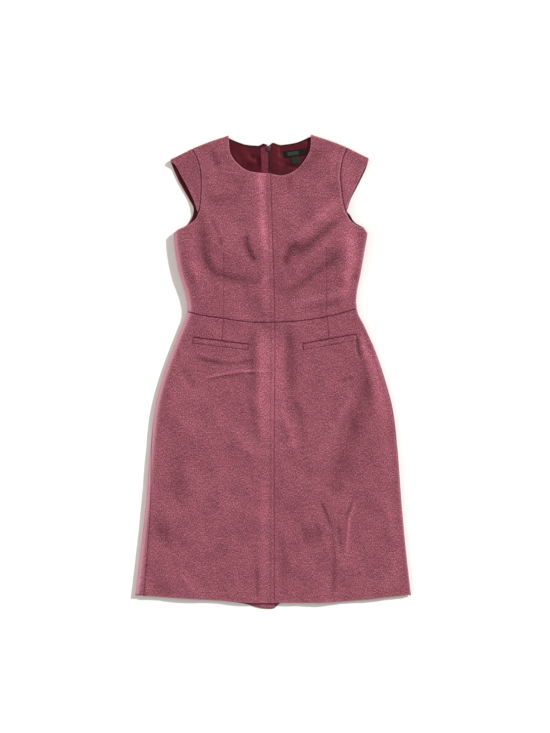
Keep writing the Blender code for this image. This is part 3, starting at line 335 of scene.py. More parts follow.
# Pocket welts: the upper corner nearest the side, the upper corner nearest the centre, and the height.
Welt = namedtuple("Welt", "outer inner height")
WELTS = {
    "left": Welt(Point(-158.6, 68), Point(-50, 54.4), 10.0),
    "right": Welt(Point(166, 74.4), Point(60, 55.4), 11.0),
}
# A welt's thickness, how far over the skirt's face it lies at its mouth, how much lower it is at its foot and
# how much it is crowned between them, then the step of its points and their rows along its edge.
WELT_THICK = 0.9
WELT_OUT = 1.2
WELT_FALL = 0.25
WELT_CROWN = 0.15
WELT_STEP = 2.0
WELT_ROWS = (0.25, 0.7, 1.5)

# Lines pressed or sewn into a panel: how far they pinch it, and how much painted shade darkens them.
Groove = namedtuple("Groove", "path half_width depth dark")
# The rows of points beside its line in shares of its half-width, their step along it, and how far its painted
# shade reaches in such shares.
GROOVE_ROWS = (0.0, -0.5, 0.5, -1.0, 1.0, -1.7, 1.7)
GROOVE_STEP = 1.8
GROOVE_DARK_REACH = 0.7
DARTS = {
    "bodice": {
        "left": Groove(line_of((-99, 236), (-98.6, 107)), 1.4, 0.5, 0.3),
        "right": Groove(line_of((106, 248), (107, 110)), 1.4, 0.5, 0.35),
    },
    "skirt": {
        "left": Groove(line_of((-98.4, 105.6), (-102.4, 62)), 1.4, 0.5, 0.6),
        "right": Groove(line_of((108.6, 110), (111.8, 65.6)), 1.4, 0.5, 0.6),
    },
}
# Topstitching: how far from the centre seam it runs, its groove's half-width, depth and painted shade, the
# step of its line's points, how far over the groove's foot the thread lies, and the thread's height in widths.
TOPSTITCH_OUT = 7.6
TOPSTITCH_GROOVE = (1.3, 0.35, 0.3)
TOPSTITCH_STEP = 12.0
TOPSTITCH_RISE = 0.05
TOPSTITCH_THREAD_HEIGHT = 0.8
# How far a row stops short of the seam or edge below it and above it, and how much further out the neck is
# measured.
TOPSTITCH_ENDS = {"bodice": (1.0, 1.5), "skirt": (1.5, 1.0)}
TOPSTITCH_NECK_OUT = 4
# The skirt's grooves round a welt, as half-width, depth and painted shade: its mouth, which lies a little over
# the welt's upper edge, its foot and its ends. The mouth's painted shade stands in for the shadow in the
# pocket.
WELT_MOUTH = (1.8, 1.4, 1.0)
WELT_MOUTH_OVER = 0.7
WELT_FOOT = (1.2, 0.5, 0.32)
WELT_END = (1.4, 0.6, 0.7)

# How a panel ends: at a seam it is pinched down beside the pad of its allowance, at an edge it is turned in.
# Each kind of seam is pinched by so much and gets so much painted shade, and some have a line of painted
# highlight beside them.
SeamLook = namedtuple("SeamLook", "pinch dark reach pale")
SEAM = "seam"
ARM_SEAM = "arm seam"
SIDE_SEAM = "side seam"
CENTRE_SEAM = "centre seam"
EDGE = "edge"
SEAM_LOOKS = {
    SEAM: SeamLook(0.9, 1.0, 0.95, 0.0),
    ARM_SEAM: SeamLook(0.9, 0.9, 0.8, 0.13),
    SIDE_SEAM: SeamLook(0.6, 0.6, 0.7, 0.0),
    CENTRE_SEAM: SeamLook(0.4, 0.5, 0.8, 0.0),
}
# How far from a seam its pinch reaches, where its line of painted highlight is and how wide, and the pad of
# its
# allowance: how high it is, how far it reaches and how softly it ends.
SEAM_PINCH_REACH = 2.2
SEAM_HIGHLIGHT_AT = 2.8
SEAM_HIGHLIGHT_REACH = 1.2
SEAM_PAD = 0.35
SEAM_PAD_REACH = 8.5
SEAM_PAD_SLOPE = 3
# Painted highlight at an edge and at the folds of both sides, standing in for the light their rolled edges
# catch:
# how strong it is and how far in, with the height over the armpit in which the folds' painted highlight ends.
# The back's edges get painted shade, this far in.
EDGE_PAINTED_LIGHT = 0.26
EDGE_PAINTED_LIGHT_REACH = 1.3
BACK_EDGE_SHADE_REACH = 1.6
LEFT_FOLD_PAINTED_LIGHT = 0.8
LEFT_FOLD_REACH = 6.5
RIGHT_FOLD_PAINTED_LIGHT = 0.1
RIGHT_FOLD_REACH = 3.25
FOLD_PAINTED_LIGHT_RISE = 12
# An edge is rounded this far in, by this share of its thickness at most, and the cloth turned in pads it.
# Faces that meet at a larger angle than the last one look sharp.
EDGE_ROUND = 0.8
EDGE_ROUND_SHARE = 0.45
EDGE_PAD = 0.2
EDGE_PAD_REACH = 7
EDGE_PAD_SLOPE = 2.5
SHARP_DEG = 55
# How far from an edge the closest rows of points lie, in wool and in thin cloth, and what other points keep
# clear of: an edge and a groove's ends in millimetres, then an edge, a roll and a groove in shares of a step.
RIM_ROWS = (0.3, 0.8, 1.6, 3.0)
THIN_ROWS = (0.4, 1.2)
RIM_ROW_LEAST = 0.9
STRIP_CLEAR = 0.4
GROOVE_END_CLEAR = 0.5
LATTICE_CLEAR = 0.4
GROOVE_CLEAR = 0.3
POINTS_AT_ONCE = 3000

# The zip, its lift of the cloth over the pull tab, and the lining beside it.
TAPE_THICK = 0.7
TAPE_WIDTH = 15.4
TAPE_TOP = 450.0
TAPE_END = -20.0
TAPE_INNER = 1.1
ZIP_LIFT = 2.4
LIFT_TOP_HALF = 6.0
LIFT_FOOT_HALF = 20.0
LIFT_START_Y = 402.0
LIFT_FULL_Y = 420.0
LIFT_SLACK = 0.4
ZIP_PARTING = 1.1
ZIP_PARTING_ROWS = (440.0, 446.0)
TOOTH_SIZE = (2.5, 1.05, 1.0)
TEETH_PITCH = 1.5
TEETH_FOOT = -18.0
TEETH_TOP = 440.5
TEETH_OUT = 1.25
TEETH_IN = 1.2
# The lining ends this low, this far inside the wool's edges, clear of the slider and below the shoulder.
LINING_LOW = 236.0
LINING_EDGE = 0.5
LINING_CLEAR = 3.8
LINING_RIM_CLEAR = 4.2
LINING_SHOULDER = 4.8
LINING_CORNER = 2.4
LINING_BESIDE = 0.3
# The lining's neck groove as half-width, depth and painted shade along the neck edge.
LINING_NECK = (3.0, 0.0, 1.0)
LINING_FROM_ROLL = 5.0
SLEEVE_LINING_SHIFT = 1.0
# Past the right tape it steps down over this run.
STEP_START = 1.5
STEP_RUN = 4.0

# The neck label, its band and its stitches, and the tab under it.
LABEL_CORNER = Point(20.4, 441.6)
LABEL_SIZE = (46.0, 13.4)
LABEL_TILT_DEG = 8.0
LABEL_BAND = ((8.5, 3.2), (31.0, 10.4))
LABEL_THICK = 0.55
LABEL_STEP = 1.2
LABEL_ROWS = (0.3,)
LABEL_CURL = 0.22
LABEL_CURL_TURN = 0.42
LABEL_CURL_DOWN = 14.0
LABEL_CURL_DEPTH = 0.4
LABEL_CLEAR = 0.1
LABEL_STITCH_SIZE = (0.5, 1.8, 0.4)
LABEL_STITCH_OUT = 0.75
LABEL_STITCH_IN = 1.0
LABEL_STITCH_ENDS = (1.4, 0.6)
LABEL_STITCH_PITCH = 2.4
SIZE_TAB_SIZE = (16.6, 14.6)
SIZE_TAB_ALONG = 14.0

# The picture: how many millimetres of the laid dress a picture element shows, and where its middle looks.
PICTURE = (550, 733)
MM_PER_ELEMENT = 2.0
LOOK_AT = Point(4.4, 10.8)
LOOK_HEIGHT = 8.0
# The low light from the left: its width and its height, as angles.
FILL_SIZE = 0.6
FILL_ELEVATION = 0.42
FLOOR_GAP = 0.3


def tone(*levels):
    """A screen colour, of 0 to 255, as the light it stands for."""
    shares = [level / 255 for level in levels]
    return tuple(c / 12.92 if c <= 10 / 255 else ((c + 0.055) / 1.055) ** 2.4 for c in shares)


# The form --------------------------------------------------------------


def table_curve(keys, values):
    """A smooth curve through a table's rows, level past its ends."""
    keys = np.array(keys, float)
    values = np.array(values, float)
    last = len(keys) - 1
    below = np.maximum(np.arange(last + 1) - 1, 0)
    above = np.minimum(np.arange(last + 1) + 1, last)
    slopes = (values[above] - values[below]) / (keys[above] - keys[below])

    def at(where):
        where = np.clip(where, keys[0], keys[-1])
        i = np.clip(np.searchsorted(keys, where, "right") - 1, 0, last - 1)
        span = keys[i + 1] - keys[i]
        t = (where - keys[i]) / span
        start = (2 * t**3 - 3 * t**2 + 1) * values[i] + (t**3 - 2 * t**2 + t) * span * slopes[i]
        return start + (3 * t**2 - 2 * t**3) * values[i + 1] + (t**3 - t**2) * span * slopes[i + 1]

    return at


def column(name):
    return table_curve([row.y for row in SECTIONS], [getattr(row, name) for row in SECTIONS])


def by_x(points):
    ordered = sorted(points)
    return table_curve([p.x for p in ordered], [p.y for p in ordered])


def by_y(points):
    return table_curve([p.y for p in points], [p.x for p in points])


left_edge = column("left")
right_edge = column("right")
roll_radius = column("roll")
crown = column("crown")
seam_creep = {"left": column("seam_left"), "right": column("seam_right")}
waist = by_x(WAIST)
front_hem = by_x(FRONT_HEM)
back_hem = by_x(BACK_HEM)
centre_front = by_y(CENTRE_FRONT)
centre_back = by_y(CENTRE_BACK)
left_shoulder = by_x(LEFT.shoulder)
right_shoulder = by_x(RIGHT.shoulder)


def shoulder(x):
    return np.where(np.asarray(x) < 0, left_shoulder(x), right_shoulder(x))


def ease(t):
    t = np.clip(t, 0.0, 1.0)
    return t * t * (3 - 2 * t)


def edge_of(x, y):
    """The silhouette of the side that x is on, which above the armpit moves off the cloth."""
    spread = ARMHOLE_SPREAD * np.maximum(0.0, y - ARMPIT_Y)
    return np.where(np.asarray(x) < 0, left_edge(y) - spread, right_edge(y) + spread)


def segment_distance(x, y, x0, y0, x1, y1):
    along_x, along_y = x1 - x0, y1 - y0
    t = np.clip(((x - x0) * along_x + (y - y0) * along_y) / (along_x**2 + along_y**2 + 1e-12), 0.0, 1.0)
    return np.hypot(x - x0 - t * along_x, y - y0 - t * along_y)


def wave_rows():
    """Each slow wave as its steps along X and Y, its start and its height."""
    chance = np.random.default_rng(WAVE_SEED)
    rows = []
    for wave in WAVES:
        for _ in range(WAVE_WAYS):
            way = chance.uniform(0, math.pi)
            turn = 2 * math.pi / (wave.length * chance.uniform(*WAVE_SPREAD))
            start = chance.uniform(0, 2 * math.pi)
            height = wave.height / math.sqrt(WAVE_WAYS)
            rows.append((turn * math.cos(way), turn * math.sin(way), start, height))
    return rows


SLOW_WAVES = wave_rows()


def crease_share(crease, x, y):
    """How much of a crease's height there is: all of it on its line, and less beside it and near its ends."""
    line = np.array(crease.line, float)
    lengths = np.linalg.norm(np.diff(line, axis=0), axis=1)
    near = np.full(np.shape(x), 1e9)
    side = np.zeros(np.shape(x))
    along = np.zeros(np.shape(x))
    passed = 0.0
    for (x0, y0), (x1, y1), length in zip(line, line[1:], lengths):
        way_x, way_y = (x1 - x0) / length, (y1 - y0) / length
        run = np.clip((x - x0) * way_x + (y - y0) * way_y, 0.0, length)
        away_x, away_y = x - x0 - run * way_x, y - y0 - run * way_y
        away = np.hypot(away_x, away_y)
        closer = away < near
        near = np.where(closer, away, near)
        side = np.where(closer, way_x * away_y - way_y * away_x, side)
        along = np.where(closer, passed + run, along)
        passed += length
    taper_run = CREASE_TAPER * passed
    taper = ease(CREASE_END + along / taper_run) * ease(CREASE_END + (passed - along) / taper_run)
    blend = ease(0.5 + side / (2 * min(crease.first, crease.second)))
    width = crease.second + blend * (crease.first - crease.second)
    return taper * np.exp(-((near / width) ** 2))


def creased(creases, x, y):
    """The height that creases add, and the painted highlight and shade that their tones put on the colour."""
    height = np.zeros(np.shape(x))
    lie = np.zeros(np.shape(x))
    for crease in creases:
        share = crease_share(crease, x, y)
        height = height + crease.height * share
        lie = lie + crease.tone * share
    return height, lie


def relief(x, y):
    """What the front's creases, hills and slow waves add to its height."""
    total = creased(CREASES, x, y)[0]
    for cup in CUPS:
        away = ((x - cup.x) / cup.reach_x) ** 2 + ((y - cup.y) / cup.reach_y) ** 2
        total = total + cup.height * np.exp(-away)
    for step_x, step_y, start, height in SLOW_WAVES:
        total = total + height * np.sin(step_x * x + step_y * y + start)
    return total


def front_height(x, y):
    """How high the front's face is: it falls to the tops of the rolls, and keeps clear of the back."""
    radius = roll_radius(y)
    within = ease((np.abs(edge_of(x, y) - x) - radius) / EDGE_RISE)
    below = ease((shoulder(x) - y - SHOULDER_ROLL) / EDGE_RISE)
    outwards = ease((np.abs(x) - SLEEVE_FALL_START) / SLEEVE_FALL_RUN)
    fall = SLEEVE_FALL * outwards * ease((y - ARMPIT_Y) / EDGE_RISE)
    least = back_height(x, y) + np.where(y > waist(x), BODICE_LEAST, SKIRT_LEAST)
    spare = crown(y) + relief(x, y) - fall - least
    bent = LEAST_BLEND * np.log1p(np.exp(np.minimum(spare, LEAST_PAST) / LEAST_BLEND))
    spare = np.where(spare > LEAST_PAST, spare, bent)
    height = 2 * SHOULDER_ROLL + below * (least + spare - 2 * SHOULDER_ROLL)
    return 2 * radius + within * (height - 2 * radius)


def back_height(x, y):
    """How high the back's face is: its own soft ridges, and the lift over the pull tab."""
    across = (LIFT_FOOT_HALF - np.abs(x - centre_back(y))) / (LIFT_FOOT_HALF - LIFT_TOP_HALF)
    along = (y - LIFT_START_Y) / (LIFT_FULL_Y - LIFT_START_Y)
    lift = ZIP_LIFT * np.clip(across, 0.0, 1.0) * np.clip(along, 0.0, 1.0)
    return lift + creased(BACK_CREASES, x, y)[0]


def lift_slack(x, y):
    """How far what lies on the back's lower side drops away from it, where the back is lifted."""
    return LIFT_SLACK * np.minimum(1.0, back_height(x, y))


def face_height(home, x, y):
    return front_height(x, y) if home == FRONT else back_height(x, y)


def round_roll(home, radius, arc):
    """For lengths of cloth round a roll: how far out they end, how high, and their length past the roll."""
    angle = np.minimum(arc / radius, math.pi)
    height = radius + home * radius * np.cos(angle)
    return radius * np.sin(angle), height, np.maximum(0.0, arc - math.pi * radius)


def laid_points(home, x, y):
    """Where points of a cut lie, on the cloth's outer face."""
    line = shoulder(x) - SHOULDER_ROLL
    past_top = y - line
    out, height, under = round_roll(home, SHOULDER_ROLL, np.maximum(past_top, 0.0))
    top_y = line + out - under
    top_z = np.where(under > 0, face_height(-home, x, top_y), height)
    sign = np.where(x < 0, -1.0, 1.0)
    radius = roll_radius(y)
    start = sign * edge_of(x, y) - radius
    past_side = sign * x - start
    out, height, under = round_roll(home, radius, np.maximum(past_side, 0.0))
    side_x = sign * (start + out - under)
    side_z = np.where(under > 0, face_height(-home, side_x, y), height)
    over_top = past_top > 0
    over_side = ~over_top & (past_side > 0)
    flat_z = face_height(home, x, y)
    return np.stack(
        [
            np.where(over_side, side_x, x),
            np.where(over_top, top_y, y),
            np.where(over_top, top_z, np.where(over_side, side_z, flat_z)),
        ],
        axis=1,
    )


def laid(home, xy):
    """Points of a cut as laid, and the way out of the cloth there."""
    x, y = xy[:, 0], xy[:, 1]
    reach = 0.05
    along_x = laid_points(home, x + reach, y) - laid_points(home, x - reach, y)
    along_y = laid_points(home, x, y + reach) - laid_points(home, x, y - reach)
    out = home * np.cross(along_x, along_y)
    return laid_points(home, x, y), out / np.linalg.norm(out, axis=1, keepdims=True)


# Cuts ------------------------------------------------------------------


def between(before, start, end, after, t):
    """A value on the smooth curve from start to end, which the values before and after them steer."""
    linear = end - before
    square = 2 * before - 5 * start + 4 * end - after
    cube = 3 * start - before - 3 * end + after
    return start + 0.5 * (linear * t + square * t**2 + cube * t**3)


def evenly(points, step):
    """The same line with its points a step apart."""
    points = np.array(points, float)
    length = np.concatenate([[0.0], np.cumsum(np.linalg.norm(np.diff(points, axis=0), axis=1))])
    count = max(1, round(length[-1] / step))
    wanted = np.linspace(0.0, length[-1], count + 1)
    return [Point(np.interp(w, length, points[:, 0]), np.interp(w, length, points[:, 1])) for w in wanted]


def through(points, step):
    """Points a step apart along a smooth curve through the given ones."""
    ends = [points[0], *points, points[-1]]
    parts = 8
    fine = []
    for a, b, c, d in zip(ends, ends[1:], ends[2:], ends[3:]):
        for t in (k / parts for k in range(parts)):
            fine.append(Point(between(a.x, b.x, c.x, d.x, t), between(a.y, b.y, c.y, d.y, t)))
    fine.append(points[-1])
    return evenly(fine, step)


def spaced(start, end, step):
    return list(np.linspace(start, end, max(1, round(abs(end - start) / step)) + 1))


def seam_cut(side, home, y):
    """The side seam in the cut of a panel of this home: how far out it is."""
    creep = seam_creep[side.name](y)
    if home == BACK:
        creep = (2 - math.pi) * roll_radius(y) - creep
    edge = left_edge(y) if side.sign < 0 else right_edge(y)
    return edge - side.sign * creep


def hem_side_y(side):
    edge = left_edge(HEM_SIDE_Y) if side.sign < 0 else right_edge(HEM_SIDE_Y)
    return front_hem(edge - side.sign * HEM_SIDE_IN)


def waist_side_y(side):
    return waist(side.sign * WAIST_SIDE_X)


def over_shoulder(x, degrees):
    """A place on the shoulder's roll in the cut, in degrees from where the panel's own face ends."""
    return Point(x, float(shoulder(x)) - SHOULDER_ROLL + SHOULDER_ROLL * math.radians(degrees))


Run = namedtuple("Run", "kind points")


def bodice_runs(side, home, step):
    """The cut of one bodice half, round from the waist at its centre, as seams and free edges."""
    front = home == FRONT
    centre = centre_front if front else centre_back
    low = float(centre(WAIST_CENTRE_Y))
    turn = SHOULDER_SEAM_DEG if front else 180 - SHOULDER_SEAM_DEG
    if front:
        top = side.front_neck[0].y
        runs = [Run(CENTRE_SEAM, [Point(centre(y), y) for y in spaced(waist(low), top, step)[:-1]])]
        runs.append(Run(EDGE, through(side.front_neck, step)))
    else:
        centre_edge = []
        for y in spaced(waist(low), ZIP_PARTING_ROWS[1], step):
            parting = ZIP_PARTING * ease((y - LIFT_FULL_Y) / (ZIP_PARTING_ROWS[0] - LIFT_FULL_Y))
            centre_edge.append(Point(centre(y) + side.sign * parting, y))
        runs = [Run(EDGE, centre_edge), Run(EDGE, through(side.notch, step))]
        runs.append(Run(EDGE, through(side.back_neck, step)[1:]))
    neck_x, tip_x = side.shoulder[0].x, side.shoulder[2].x
    degrees = spaced(0, turn, ROLL_STEP_DEG)
    runs.append(Run(EDGE, [over_shoulder(neck_x, a) for a in degrees[1:-1]]))
    runs.append(Run(SEAM, [over_shoulder(x, turn) for x in spaced(neck_x, tip_x, step)]))
    runs.append(Run(SEAM, [over_shoulder(tip_x, a) for a in degrees[-2:0:-1]]))
    runs.append(Run(ARM_SEAM, through(side.seam_front if front else side.seam_back, step)))
    runs.append(Run(EDGE, through(side.armhole_front if front else side.armhole_back, step)[1:]))
    level = waist_side_y(side)
    runs.append(Run(SIDE_SEAM, [Point(seam_cut(side, home, y), y) for y in spaced(ARMPIT_Y, level, step)]))
    xs = spaced(seam_cut(side, home, level), low, step)[1:-1]
    runs.append(Run(SEAM, [Point(x, waist(x)) for x in xs]))
    return runs


def skirt_runs(side, home, step):
    """The cut of one skirt half, round from the waist at its centre."""
    centre = centre_front if home == FRONT else centre_back
    hem = front_hem if home == FRONT else back_hem
    low_y, high_y = hem_side_y(side), waist_side_y(side)
    start, foot = float(centre(WAIST_CENTRE_Y)), float(centre(HEM_CENTRE_Y))
    waist_xs = spaced(start, seam_cut(side, home, high_y), step)[:-1]
    foot_xs = spaced(seam_cut(side, home, low_y), foot, step)[1:]
    return [
        Run(SEAM, [Point(x, waist(x)) for x in waist_xs]),
        Run(SIDE_SEAM, [Point(seam_cut(side, home, y), y) for y in spaced(high_y, low_y, step)]),
        Run(EDGE, [Point(x, hem(x)) for x in foot_xs]),
        Run(CENTRE_SEAM, [Point(centre(y), y) for y in spaced(hem(foot), waist(start), step)[1:-1]]),
    ]


def sleeve_runs(side, step):
    """The cut of a cap sleeve: its front layer, the shoulder's roll, then its back layer turned up."""

    def turned(points):
        level = [2 * (float(shoulder(p.x)) - SHOULDER_ROLL) + math.pi * SHOULDER_ROLL for p in points]
        return [Point(p.x, high - p.y) for p, high in zip(points, level)]

    inner_x, tip_x = side.shoulder[2].x, side.shoulder[3].x
    degrees = spaced(0, 180, ROLL_STEP_DEG)[1:-1]
    return [
        Run(SEAM, through(side.seam_front, step)[::-1]),
        Run(SEAM, [over_shoulder(inner_x, a) for a in degrees]),
        Run(SEAM, turned(through(side.seam_back, step))),
        Run(EDGE, turned(through(side.edge_back, step)[::-1])),
        Run(EDGE, [over_shoulder(tip_x, a) for a in reversed(degrees)]),
        Run(EDGE, through(side.edge_front, step)),
    ]


def below_shoulder(points):
    return [Point(p.x, min(p.y, float(shoulder(p.x)) - LINING_SHOULDER)) for p in points]


def lower_than_shoulder(points, by):
    return [p for p in points if p.y < shoulder(p.x) - LINING_SHOULDER - by]


def tape_outer(side, y):
    return centre_back(y) + side.sign * (TAPE_INNER + TAPE_WIDTH)


def lining_neck(side, step):
    """The lining's edge along the notch and the back neck."""
    centre = float(centre_back(TAPE_TOP))
    rim = through(side.notch, step) + through(side.back_neck, step)[1:]
    return [Point(p.x, p.y - LINING_EDGE) for p in rim if side.sign * (p.x - centre) > LINING_RIM_CLEAR]


def back_lining_runs(side, step):
    """The lining of one back half: beside the tape, over the tape's end to the slider, and round the neck."""
    reach = TAPE_INNER + TAPE_WIDTH + LINING_BESIDE if side.sign < 0 else LINING_CLEAR
    ys = spaced(LINING_LOW, TAPE_TOP + LINING_BESIDE, step)
    runs = [Run(EDGE, [Point(centre_back(y) + side.sign * reach, y) for y in ys])]
    rim = lining_neck(side, step)
    if side.sign < 0:
        runs.append(Run(EDGE, [Point(rim[0].x, TAPE_TOP + LINING_BESIDE)]))
    runs.append(Run(EDGE, below_shoulder(rim)))
    shoulder_xs = spaced(side.shoulder[0].x, side.shoulder[2].x, step)[2:-2]
    runs.append(Run(EDGE, [Point(x, float(shoulder(x)) - LINING_SHOULDER) for x in shoulder_xs]))
    outer = lower_than_shoulder(through(side.seam_back, step), LINING_CORNER)
    outer += through(side.armhole_back, step)[1:]
    runs.append(Run(EDGE, [Point(p.x - side.sign * LINING_EDGE, p.y) for p in outer]))
    foot = float(edge_of(side.sign, LINING_LOW) - side.sign * (roll_radius(LINING_LOW) + LINING_FROM_ROLL))
    start = float(centre_back(LINING_LOW)) + side.sign * reach
    runs.append(Run(EDGE, [Point(x, LINING_LOW) for x in spaced(foot, start, step)[:-1]]))
    return runs


def sleeve_lining_runs(side, step):
    seam = lower_than_shoulder(through(side.seam_back, step), LINING_CORNER)
    edge = lower_than_shoulder(through(side.edge_back, step), LINING_CORNER / 2)
    seam = [Point(p.x + side.sign * LINING_BESIDE, p.y + SLEEVE_LINING_SHIFT) for p in seam]
    edge = [Point(p.x - side.sign * LINING_EDGE, p.y + SLEEVE_LINING_SHIFT) for p in edge]
    top = [Point(x, float(shoulder(x)) - LINING_SHOULDER) for x in spaced(seam[0].x, edge[0].x, step)[1:-1]]
    return [Run(EDGE, seam[::-1] + top + edge)]


def tape_runs(side, step):
    ys = spaced(TAPE_END, TAPE_TOP, step)
    inner = [Point(centre_back(y) + side.sign * TAPE_INNER, y) for y in ys]
    outer = [Point(tape_outer(side, y), y) for y in reversed(ys)]
    across = spaced(inner[-1].x, outer[0].x, step)[1:-1]
    back = spaced(outer[-1].x, inner[0].x, step)[1:-1]
    ends = [Point(x, TAPE_TOP) for x in across], [Point(x, TAPE_END) for x in back]
    return [Run(EDGE, inner + ends[0]), Run(EDGE, outer + ends[1])]


def welt_corners(side):
    """A welt's corners in order: along its mouth from the side to the centre, and back along its foot."""
    welt = WELTS[side.name]
    along = Vector((welt.inner.x - welt.outer.x, welt.inner.y - welt.outer.y))
    down = Vector((along.y, -along.x)).normalized() * welt.height
    down = -down if down.y > 0 else down
    foot = [Point(p.x + down.x, p.y + down.y) for p in (welt.inner, welt.outer)]
    return [welt.outer, welt.inner, *foot]


def tilted(along, down):
    """A point of the label's plane, from its upper left corner."""
    angle = math.radians(LABEL_TILT_DEG)
    return Point(
        LABEL_CORNER.x + along * math.cos(angle) + down * math.sin(angle),
        LABEL_CORNER.y + along * math.sin(angle) - down * math.cos(angle),
    )


# Cloth -----------------------------------------------------------------


def in_parts(points, found):
    """What `found` gives for each point, asked for a few thousand points at a time."""
    starts = range(0, max(1, len(points)), POINTS_AT_ONCE)
    return np.concatenate([found(points[k : k + POINTS_AT_ONCE]) for k in starts])


def line_distance(points, starts, ends):
    """How far points are from the nearest of the line's pieces."""

    def found(some):
        x, y = some[:, :1], some[:, 1:]
        away = segment_distance(x, y, starts[:, 0], starts[:, 1], ends[:, 0], ends[:, 1])
        return away.min(axis=1)

    if not len(starts):
        return np.full(len(points), 1e3)
    return in_parts(points, found)


def within(points, outline):
    """Which points the outline goes round."""
    a, b = outline, np.roll(outline, -1, axis=0)
    rise = np.where(np.abs(b[:, 1] - a[:, 1]) < 1e-9, 1e-9, b[:, 1] - a[:, 1])

    def found(some):
        x, y = some[:, :1], some[:, 1:]
        crossed = (a[:, 1] > y) != (b[:, 1] > y)
        left = x < (b[:, 0] - a[:, 0]) * (y - a[:, 1]) / rise + a[:, 0]
        return (crossed & left).sum(axis=1) % 2 == 1

    return in_parts(points, found)


def signed_area(outline):
    x, y = outline[:, 0], outline[:, 1]
    return 0.5 * float(np.sum(x * np.roll(y, -1) - np.roll(x, -1) * y))


def drawn_in(outline, amount):
    """The outline moved inwards, less far than it should be at its sharpest corners."""
    sharp, least, most = 0.2, 0.4, 2.5
    way = 1 if signed_area(outline) > 0 else -1
    a = outline - np.roll(outline, 1, axis=0)
    b = np.roll(outline, -1, axis=0) - outline
    a /= np.maximum(np.linalg.norm(a, axis=1, keepdims=True), 1e-9)
    b /= np.maximum(np.linalg.norm(b, axis=1, keepdims=True), 1e-9)
    inward_a = way * np.stack([-a[:, 1], a[:, 0]], axis=1)
    inward_b = way * np.stack([-b[:, 1], b[:, 0]], axis=1)
    middle = inward_a + inward_b
    length = np.linalg.norm(middle, axis=1, keepdims=True)
    middle = np.where(length < sharp, inward_a, middle / np.maximum(length, 1e-9))
    stretch = 1 / np.maximum(np.sum(middle * inward_a, axis=1, keepdims=True), least)
    return outline + middle * amount * np.minimum(stretch, most)


def lattice(outline, step):
    """Staggered rows of points over an outline."""
    low, high = outline.min(axis=0), outline.max(axis=0)
    rise = step * math.sqrt(3) / 2
    rows = np.arange(int((high[1] - low[1]) / rise) + 2)
    columns = np.arange(int((high[0] - low[0]) / step) + 2)
    x, y = np.meshgrid(low[0] + columns * step, low[1] + rows * rise)
    x = x + 0.5 * step * (rows[:, None] % 2)
    return np.stack([x.ravel(), y.ravel()], axis=1)


def roll_strips(outline, step):
    """Close rows of points where the cut goes round the side rolls and the shoulder's."""
    low, high = outline.min(axis=0), outline.max(axis=0)
    arcs = np.linspace(0.0, math.pi, ROLL_ROWS)
    found = []
    for sign in (-1, 1):
        ys = np.arange(low[1], min(high[1], ARMPIT_Y + ROLL_ROWS_ABOVE_ARMPIT), step)
        radius = roll_radius(ys)[:, None]
        x = sign * (np.abs(edge_of(sign, ys))[:, None] - radius + radius * arcs)
        found.append(np.stack([x.ravel(), np.repeat(ys, len(arcs))], axis=1))
    xs = np.arange(low[0], high[0], step)
    y = shoulder(xs)[:, None] - SHOULDER_ROLL + SHOULDER_ROLL * arcs
    found.append(np.stack([np.repeat(xs, len(arcs)), y.ravel()], axis=1))
    return np.concatenate(found)


def on_roll(points, margin):
    """Which points of a cut go round a roll, or lie this near to one."""
    x, y = points[:, 0], points[:, 1]
    radius = roll_radius(y)
    past_side = np.abs(x) - (np.abs(edge_of(x, y)) - radius)
    past_top = y - (shoulder(x) - SHOULDER_ROLL)
    side = (past_side > -margin) & (past_side < math.pi * radius + margin) & (past_top < 0)
    top = (past_top > -margin) & (past_top < math.pi * SHOULDER_ROLL + margin)
    return side | top


def painted_fold_light(place):
    """Painted highlight at the folds of both sides, for laid points, standing in for light on the rolled side
    edges.
    """
    x, y = place[:, 0], place[:, 1]
    below = ease((ARMPIT_Y + FOLD_PAINTED_LIGHT_RISE - y) / FOLD_PAINTED_LIGHT_RISE)
    from_left = (x - left_edge(y)) / LEFT_FOLD_REACH
    from_right = (right_edge(y) - x) / RIGHT_FOLD_REACH
    left = LEFT_FOLD_PAINTED_LIGHT * np.exp(-(np.maximum(from_left, 0) ** 2))
    return below * np.maximum(left, RIGHT_FOLD_PAINTED_LIGHT * np.exp(-(np.maximum(from_right, 0) ** 2)))


def beside(path, offsets, step):
    """Points along a line and beside it at each offset."""
    line = np.array(evenly(path, step))
    way = np.gradient(line, axis=0)
    way /= np.linalg.norm(way, axis=1, keepdims=True)
    across = np.stack([-way[:, 1], way[:, 0]], axis=1)
    return np.concatenate([line + across * offset for offset in offsets])


def path_ends(path):
    """Where each straight piece of a path starts and ends."""
    line = np.array(path, float)
    return line[:-1], line[1:]


